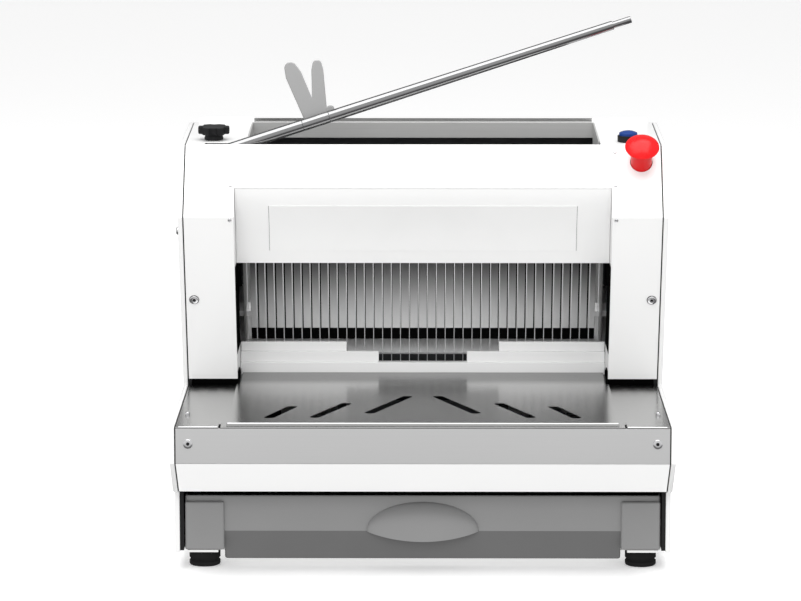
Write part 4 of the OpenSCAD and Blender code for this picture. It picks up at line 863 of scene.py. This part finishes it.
class SLICER_OT_table(Operator):
    """Rounds the steel table, crumb plate, chute and hopper, with the hems and the black strips of painted
    shade at the pusher
    """
    bl_idname = "slicer.table"
    bl_label = "Table and Hopper"

    def execute(self, context):
        edges, details = context.scene.slicer_edges, context.scene.slicer_details
        for node in ("front_apron", "delivery_table", "hopper_liner", "chute_floor", "chute_sides", "pusher"):
            rounded(node, edges.sheet, 2, 2 * edges.sheet)
        rounded("crumb_plate", edges.sheet, 2)
        rounded("rear_lid", edges.lid)
        rounded("crumb_tray", edges.sheet / 2)
        self.wiper(details)
        self.hems(details)
        return {"FINISHED"}

    def hems(self, details):
        """Rolled bright hems along the front edges of the crumb plate and the table."""
        plate_low, plate_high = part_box("crumb_plate")
        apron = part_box("front_apron")[0]
        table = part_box("delivery_table")[1]
        rise = details.hem / 2
        centre = self.bead(plate_low.x, plate_high.x, plate_low.y + rise, plate_high.z - rise / 2, rise)
        trim("plate_hem", centre, "bright_steel", body="plate")
        edge, side = table.x - 2 * rise, 0.8 * rise
        sides = [self.bead(a, b, apron.y + side, table.z - rise / 2, side)
                 for a, b in ((-edge, plate_low.x - details.hem_gap), (plate_high.x + details.hem_gap, edge))]
        trim("table_hems", joined(sides), "bright_steel")

    def bead(self, left, right, y, z, radius):
        """A round bead along X with domed ends."""
        turn = Matrix.Translation((left, y, z)) @ Matrix.Rotation(math.pi / 2, 4, "Y")
        far = right - left - radius
        profile = quarter(0.0, radius, radius, -90, 0, 4) + quarter(0.0, far, radius, 0, 90, 4)
        return spun([(max(r, 0.0), h) for r, h in profile], 16, turn)

    def wiper(self, details):
        """Painted shade: a black strip between the pusher plate's foot and the chute floor, for the dark gap
        there, and thin black strips on the plate at the blades, for the dark lines beside them.
        """
        bm = merged("pusher")
        place = leaning(bm)
        back = place.inverted()
        corners = [back @ v.co for v in bm.verts]
        bm.free()
        front = min(c.y for c in corners)
        foot = min(c.z for c in corners if abs(c.y - front) < NEAR)
        head = max(c.z for c in corners if abs(c.y - front) < NEAR)
        half = max(c.x for c in corners if abs(c.z - foot) < NEAR)
        reach, thin, overlap = details.slot / 2, 0.1 * MM, 3 * MM
        strip = block((-half, front - details.wiper_lap, foot - details.wiper),
                      (half, front + details.wiper_t, foot + overlap), TRIM_EDGE)
        slot_shades = joined([block((x - reach, front - thin, foot), (x + reach, front + thin, head), thin / 2)
                        for x in self.blade_places() if abs(x) + reach < half])
        for name, made in (("pusher_wiper", strip), ("pusher_slots", slot_shades)):
            bmesh.ops.transform(made, matrix=place, verts=made.verts)
            trim(name, made, "rubber", "lining_felt", "pusher_unit")

    def blade_places(self):
        """Where the blades stand across the machine."""
        places = []
        for node in ("front_blades", "rear_blades"):
            bm = merged(node)
            places += [sum(v.co.x for v in shell) / len(shell) for shell in islands(bm)]
            bm.free()
        return places


class SLICER_OT_rails(Operator):
    """Rounds the three steps of the rail under the blades"""
    bl_idname = "slicer.rails"
    bl_label = "Stepped Rail"

    def execute(self, context):
        for node in ("rail_lower", "rail_middle", "rail_upper"):
            rounded(node, context.scene.slicer_edges.rail, 3)
        return {"FINISHED"}


class SLICER_OT_drawer(Operator):
    """Rounds the drawer's front and makes its cup handle and the black strip of painted shade on its top"""
    bl_idname = "slicer.drawer"
    bl_label = "Crumb Drawer"

    def execute(self, context):
        margin, details = context.scene.slicer_edges.drawer, context.scene.slicer_details
        rounded("drawer_front", margin, 4)
        show("drawer_handle_cup", self.cup(details), "drawer_handle")
        low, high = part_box("drawer_front")
        # Painted shade: a black strip on the drawer's top stands in for the dark gap under the lower apron.
        strip = details.strip
        seal = block((low.x + margin, low.y + margin, high.z - strip),
                     (high.x - margin, high.y - margin, high.z + strip), strip / 3)
        trim("drawer_strip", seal, "rubber", "lining_felt", "drawer")
        return {"FINISHED"}

    def cup(self, details):
        """A cup that swells softly out of the drawer's face and ends in a crisp lip."""
        low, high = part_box("drawer_handle")
        half = high.x
        out = high.y - low.y
        columns, rows = 64, 24
        crown, belly, blend = 0.5, 0.6, 4      # powers: lower ones are fuller, a higher blend is flatter
        bm = bmesh.new()
        bmesh.ops.create_grid(bm, x_segments=columns, y_segments=rows, size=1.0)
        for v in bm.verts:
            across, up = v.co.x, (v.co.y + 1) / 2
            arch = max(0.0, 1 - across ** 2)
            lip = DRAWER_BREAK - (DRAWER_BREAK - low.z) * arch
            top = DRAWER_BREAK + (high.z - DRAWER_BREAK) * arch ** crown
            swell = 1 - up ** blend
            v.co = (half * across, high.y - out * arch ** belly * swell, lip + (top - lip) * up)
        bmesh.ops.remove_doubles(bm, verts=bm.verts, dist=NEAR)
        bmesh.ops.recalc_face_normals(bm, faces=bm.faces)
        thickened(bm, (0, details.cup_t, 0))
        return bm


class SLICER_OT_blades(Operator):
    """Makes both rows of scalloped blades, with their ground edges towards the loaf"""
    bl_idname = "slicer.blades"
    bl_label = "Blades"

    def execute(self, context):
        details = context.scene.slicer_details
        for node in ("front_blades", "rear_blades"):
            cad = merged(node)
            place, boxes = self.slant(cad)
            cad.free()
            show(node + "_toothed", joined([self.blade(b, details, place) for b in boxes]), node)
        return {"FINISHED"}

    def slant(self, cad):
        """The matrix of the blades' leaning plane, and each blade's box in it."""
        place = leaning(cad)
        back = place.inverted()
        boxes = []
        for shell in islands(cad):
            corners = [back @ v.co for v in shell]
            boxes.append([(min(c[i] for c in corners), max(c[i] for c in corners)) for i in range(3)])
        return place, boxes

    def blade(self, box, details, place):
        (left, right), (spine, edge), (low, high) = box
        middle = (left + right) / 2
        ground = edge - details.ground
        teeth = round((high - low) / details.tooth_pitch)
        bm = bmesh.new()
        section = [bm.verts.new((x, y, low)) for x, y in
                   ((left, spine), (right, spine), (right, ground), (middle, edge), (left, ground))]
        face = bm.faces.new(section)
        step = (high - low) / (2 * teeth)
        bmesh.ops.spin(bm, geom=[face, *face.edges, *section], axis=(0, 0, 1), cent=(0, 0, 0),
                       dvec=(0, 0, step), angle=0, steps=2 * teeth)
        for v in bm.verts:
            if abs(v.co.y - edge) < NEAR and round((v.co.z - low) / step) % 2:
                v.co.y -= details.tooth_depth
        bmesh.ops.recalc_face_normals(bm, faces=bm.faces)
        bmesh.ops.transform(bm, matrix=place, verts=bm.verts)
        return bm


class SLICER_OT_lever(Operator):
    """Rounds the feed lever, its hub, bracket, collar and two paddles"""
    bl_idname = "slicer.lever"
    bl_label = "Lever and Paddles"

    def execute(self, context):
        edges = context.scene.slicer_edges
        for node in ("lever_bar", "lever_hub", "lever_bracket", "paddle_collar"):
            rounded(node, edges.lever)
        rounded("paddles", edges.paddle, 3)
        return {"FINISHED"}


class SLICER_OT_controls(Operator):
    """Rounds the star knob, the start and stop buttons and the mains inlet"""
    bl_idname = "slicer.controls"
    bl_label = "Controls"

    def execute(self, context):
        edges = context.scene.slicer_edges
        knob = self.knob(context.scene.slicer_details)
        round_edges(knob, edges.knob, 3)
        show("star_knob_moulded", knob, "star_knob")
        for node in ("start_body", "start_button", "stop_switch", "stop_button", "power_inlet"):
            rounded(node, edges.bezel)
        return {"FINISHED"}

    def knob(self, details):
        """The star knob with its head drawn up on a longer, flared neck."""
        bm = merged("star_knob")
        joint = next(j for j in frame["record"]["behaviour"]["joints"] if j["name"] == "knob_turn")
        axis = Vector(joint["axis"]).normalized()
        place = Vector(joint["pos_m"])
        rise = {v: (v.co - place).dot(axis) for v in bm.verts}
        levels = sorted({round(r, 5) for r in rise.values()})
        same, bore, flare = 0.05 * MM, 8 * MM, 0.15
        for v in bm.verts:
            spoke = v.co - place - rise[v] * axis
            if abs(rise[v] - levels[-2]) < same:
                v.co += details.knob_lift * axis
            elif abs(rise[v] - levels[-3]) < same and spoke.length > bore:
                v.co += flare * spoke
        return bm


class SLICER_OT_feet(Operator):
    """Turns the four grooved feet and adds the base plate's tongues over them"""
    bl_idname = "slicer.feet"
    bl_label = "Feet"

    def execute(self, context):
        details = context.scene.slicer_details
        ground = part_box("feet")[0].z
        feet = []
        for place, radius, height in round_ends("feet", Vector((0, 0, -1))):
            flat = Matrix.Translation((place.translation.x, place.translation.y, ground))
            feet.append(self.foot(radius, height, details.foot_steps, flat))
        show("feet_turned", joined(feet), "feet")
        self.tongues(details)
        return {"FINISHED"}

    def tongues(self, details):
        """White tongues of the base plate under the drawer's end blocks."""
        plate_low, plate_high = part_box("base_plate")
        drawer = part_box("drawer_front")[0]
        top = plate_low.z + 1.3 * details.tongue
        inset, lap = 4 * MM, 2 * MM
        inner, outer = DRAWER_BAY + 2 * inset, plate_high.x - inset
        made = [block((side * inner, drawer.y + inset, top - details.tongue),
                      (side * outer, plate_low.y + lap, top), TRIM_EDGE) for side in (1, -1)]
        trim("base_tongues", joined(made), "white_paint")

    def foot(self, radius, top, steps, place):
        groove = 0.08 * radius
        seat = 0.75 * top
        profile = [(0.0, 0.0), (0.7 * radius, 0.0)]
        toe = 2.5 * MM
        profile += quarter(radius - toe, toe, toe, -90, 0)
        profile += [(radius, 0.3 * seat), (radius - groove, 0.36 * seat), (radius - groove, 0.46 * seat),
                    (radius, 0.52 * seat)]
        profile += [(radius, seat), (0.4 * radius, seat), (0.2 * radius, seat), (0.2 * radius, top),
                    (0.0, top)]
        return spun(profile, steps, place)


class SLICER_OT_fasteners(Operator):
    """Makes the screws and bolts with domed heads and hexagonal sockets, with dark rings and discs of painted
    shade on the larger screws
    """
    bl_idname = "slicer.fasteners"
    bl_label = "Screws and Bolts"

    def execute(self, context):
        screws = round_ends("screws", Vector((0, -1, 1)))
        heads = [socket_head(radius, height, place) for place, radius, height in screws]
        show("screws_domed", joined(heads), "screws")
        bolts = [socket_head(radius, height, place) for side in (-1, 1)
                 for place, radius, height in round_ends("cover_bolts", Vector((side, 0, 0)))
                 if side * place.translation.x > 0]
        show("cover_bolts_domed", joined(bolts), "cover_bolts")
        # Painted shade: dark rings under the larger heads above the table, and dark socket floors.
        smallest = context.scene.slicer_details.seat_from
        painted_seat_shades = [self.seat(radius, height, place) for place, radius, height in screws if radius > smallest]
        trim("screw_seats", joined(painted_seat_shades), "black_plastic")
        return {"FINISHED"}

    def seat(self, radius, height, place):
        """Painted shade: a dark ring under a head above the table, for its contact shadow, and a dark disc
        for the shade at the floor of its socket.
        """
        inner, outer, rise = 0.85 * radius, 1.08 * radius, 0.25 * height
        hole, low, high = 0.36 * radius, 0.3 * height, 0.4 * height
        made = [spun([(0.0, low), (hole, low), (hole, high), (0.0, high)], 12, place)]
        if place.translation.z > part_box("delivery_table")[0].z:
            made.insert(0, spun([(inner, 0.0), (outer, 0.0), (outer, rise), (inner, rise)], 24, place))
        return joined(made)


class SLICER_OT_stage(Operator):
    """Sets the camera, the soft lights and the pale floor"""
    bl_idname = "slicer.stage"
    bl_label = "Stage"

    def execute(self, context):
        scene = context.scene
        studio = scene.slicer_studio
        self.camera(scene, studio)
        self.surround(scene, studio)
        self.lamp("top_light", studio.key, **TOP_LIGHT)
        self.lamp("front_light", studio.fill, **FRONT_LIGHT)
        self.floor(studio)
        return {"FINISHED"}

    def camera(self, scene, studio):
        data = bpy.data.cameras.new("camera")
        data.sensor_width = SENSOR_MM
        data.lens = studio.lens
        data.clip_end = FAR_CLIP
        scene.camera = linked("camera", data)
        scene.camera.location = studio.eye
        scene.camera.rotation_euler = (math.pi / 2 - studio.pitch, 0.0, studio.yaw)

    def surround(self, scene, studio):
        scene.view_settings.view_transform = "Standard"
        world = bpy.data.worlds.new("surround")
        world.use_nodes = True
        sky = Nodes(world.node_tree, "Generated")
        up = sky.along("Z")
        back = sky.mask(sky.along("Y"), *BACK_FADE)
        mirrored = sky.node("ShaderNodeLightPath", out="Is Glossy Ray")
        soft = studio.ground + (studio.sky - studio.ground) * sky.mask(up, *HORIZON)
        clear = studio.mirror_low + (1.0 - studio.mirror_low) * sky.mask(up, *MIRROR_HORIZON)
        level = soft + mirrored * (clear * (1.0 - studio.dip * back) - soft)
        light = world.node_tree.nodes["Background"]
        light.inputs["Color"].default_value = (1.0, 1.0, 1.0, 1.0)
        sky.put(light.inputs["Strength"], level)
        scene.world = world

    def lamp(self, name, power, size, place, mirrored):
        data = bpy.data.lights.new(name, "AREA")
        data.energy = power
        data.size = size
        lamp = linked(name, data)
        lamp.visible_glossy = mirrored
        lamp.location = place
        lamp.rotation_euler = (Vector(AIM) - Vector(place)).to_track_quat("-Z", "Y").to_euler()

    def floor(self, studio):
        bm = bmesh.new()
        bmesh.ops.create_grid(bm, x_segments=2, y_segments=2, size=FLOOR_HALF)
        mesh = as_mesh("floor", bm)
        paint = Finish("floor_paint")
        cloud = paint.noise(0.6)
        tint = tuple(studio.floor)
        paint.set(Base_Color=paint.between(cloud, tone(tint, 0.99), tint), Roughness=0.85,
                  Emission_Color=(1.0, 1.0, 1.0, 1.0), Emission_Strength=studio.glow)
        mesh.materials.append(paint.material)
        floor = linked("floor", mesh)
        floor.visible_diffuse = False
        floor.visible_glossy = False


class SLICER_PT_sidebar(Panel):
    """Lists the slicer's settings and the steps that dress it"""
    bl_idname = "SLICER_PT_sidebar"
    bl_label = "Bread Slicer"
    bl_space_type = "VIEW_3D"
    bl_region_type = "UI"
    bl_category = "Bread Slicer"

    def draw(self, context):
        for name, group in GROUPS.items():
            box = self.layout.box()
            for setting in group.__annotations__:
                box.prop(getattr(context.scene, name), setting)
        for step in STEPS:
            self.layout.operator(step.bl_idname)


STEPS = (SLICER_OT_stage, SLICER_OT_paint, SLICER_OT_covers, SLICER_OT_guard, SLICER_OT_opening,
         SLICER_OT_table, SLICER_OT_rails, SLICER_OT_drawer, SLICER_OT_blades, SLICER_OT_lever,
         SLICER_OT_controls, SLICER_OT_feet, SLICER_OT_fasteners)
GROUPS = {"slicer_finishes": SlicerFinishes, "slicer_edges": SlicerEdges, "slicer_details": SlicerDetails,
          "slicer_studio": SlicerStudio}


def register():
    for name, group in GROUPS.items():
        bpy.utils.register_class(group)
        setattr(bpy.types.Scene, name, PointerProperty(type=group))
    for made in (*STEPS, SLICER_PT_sidebar):
        bpy.utils.register_class(made)


def unregister():
    for made in (SLICER_PT_sidebar, *reversed(STEPS)):
        bpy.utils.unregister_class(made)
    for name, group in GROUPS.items():
        delattr(bpy.types.Scene, name)
        bpy.utils.unregister_class(group)


def main():
    register()
    for step in STEPS:
        getattr(bpy.ops.slicer, step.bl_idname.split(".")[1])()


if __name__ == "__main__":
    main()
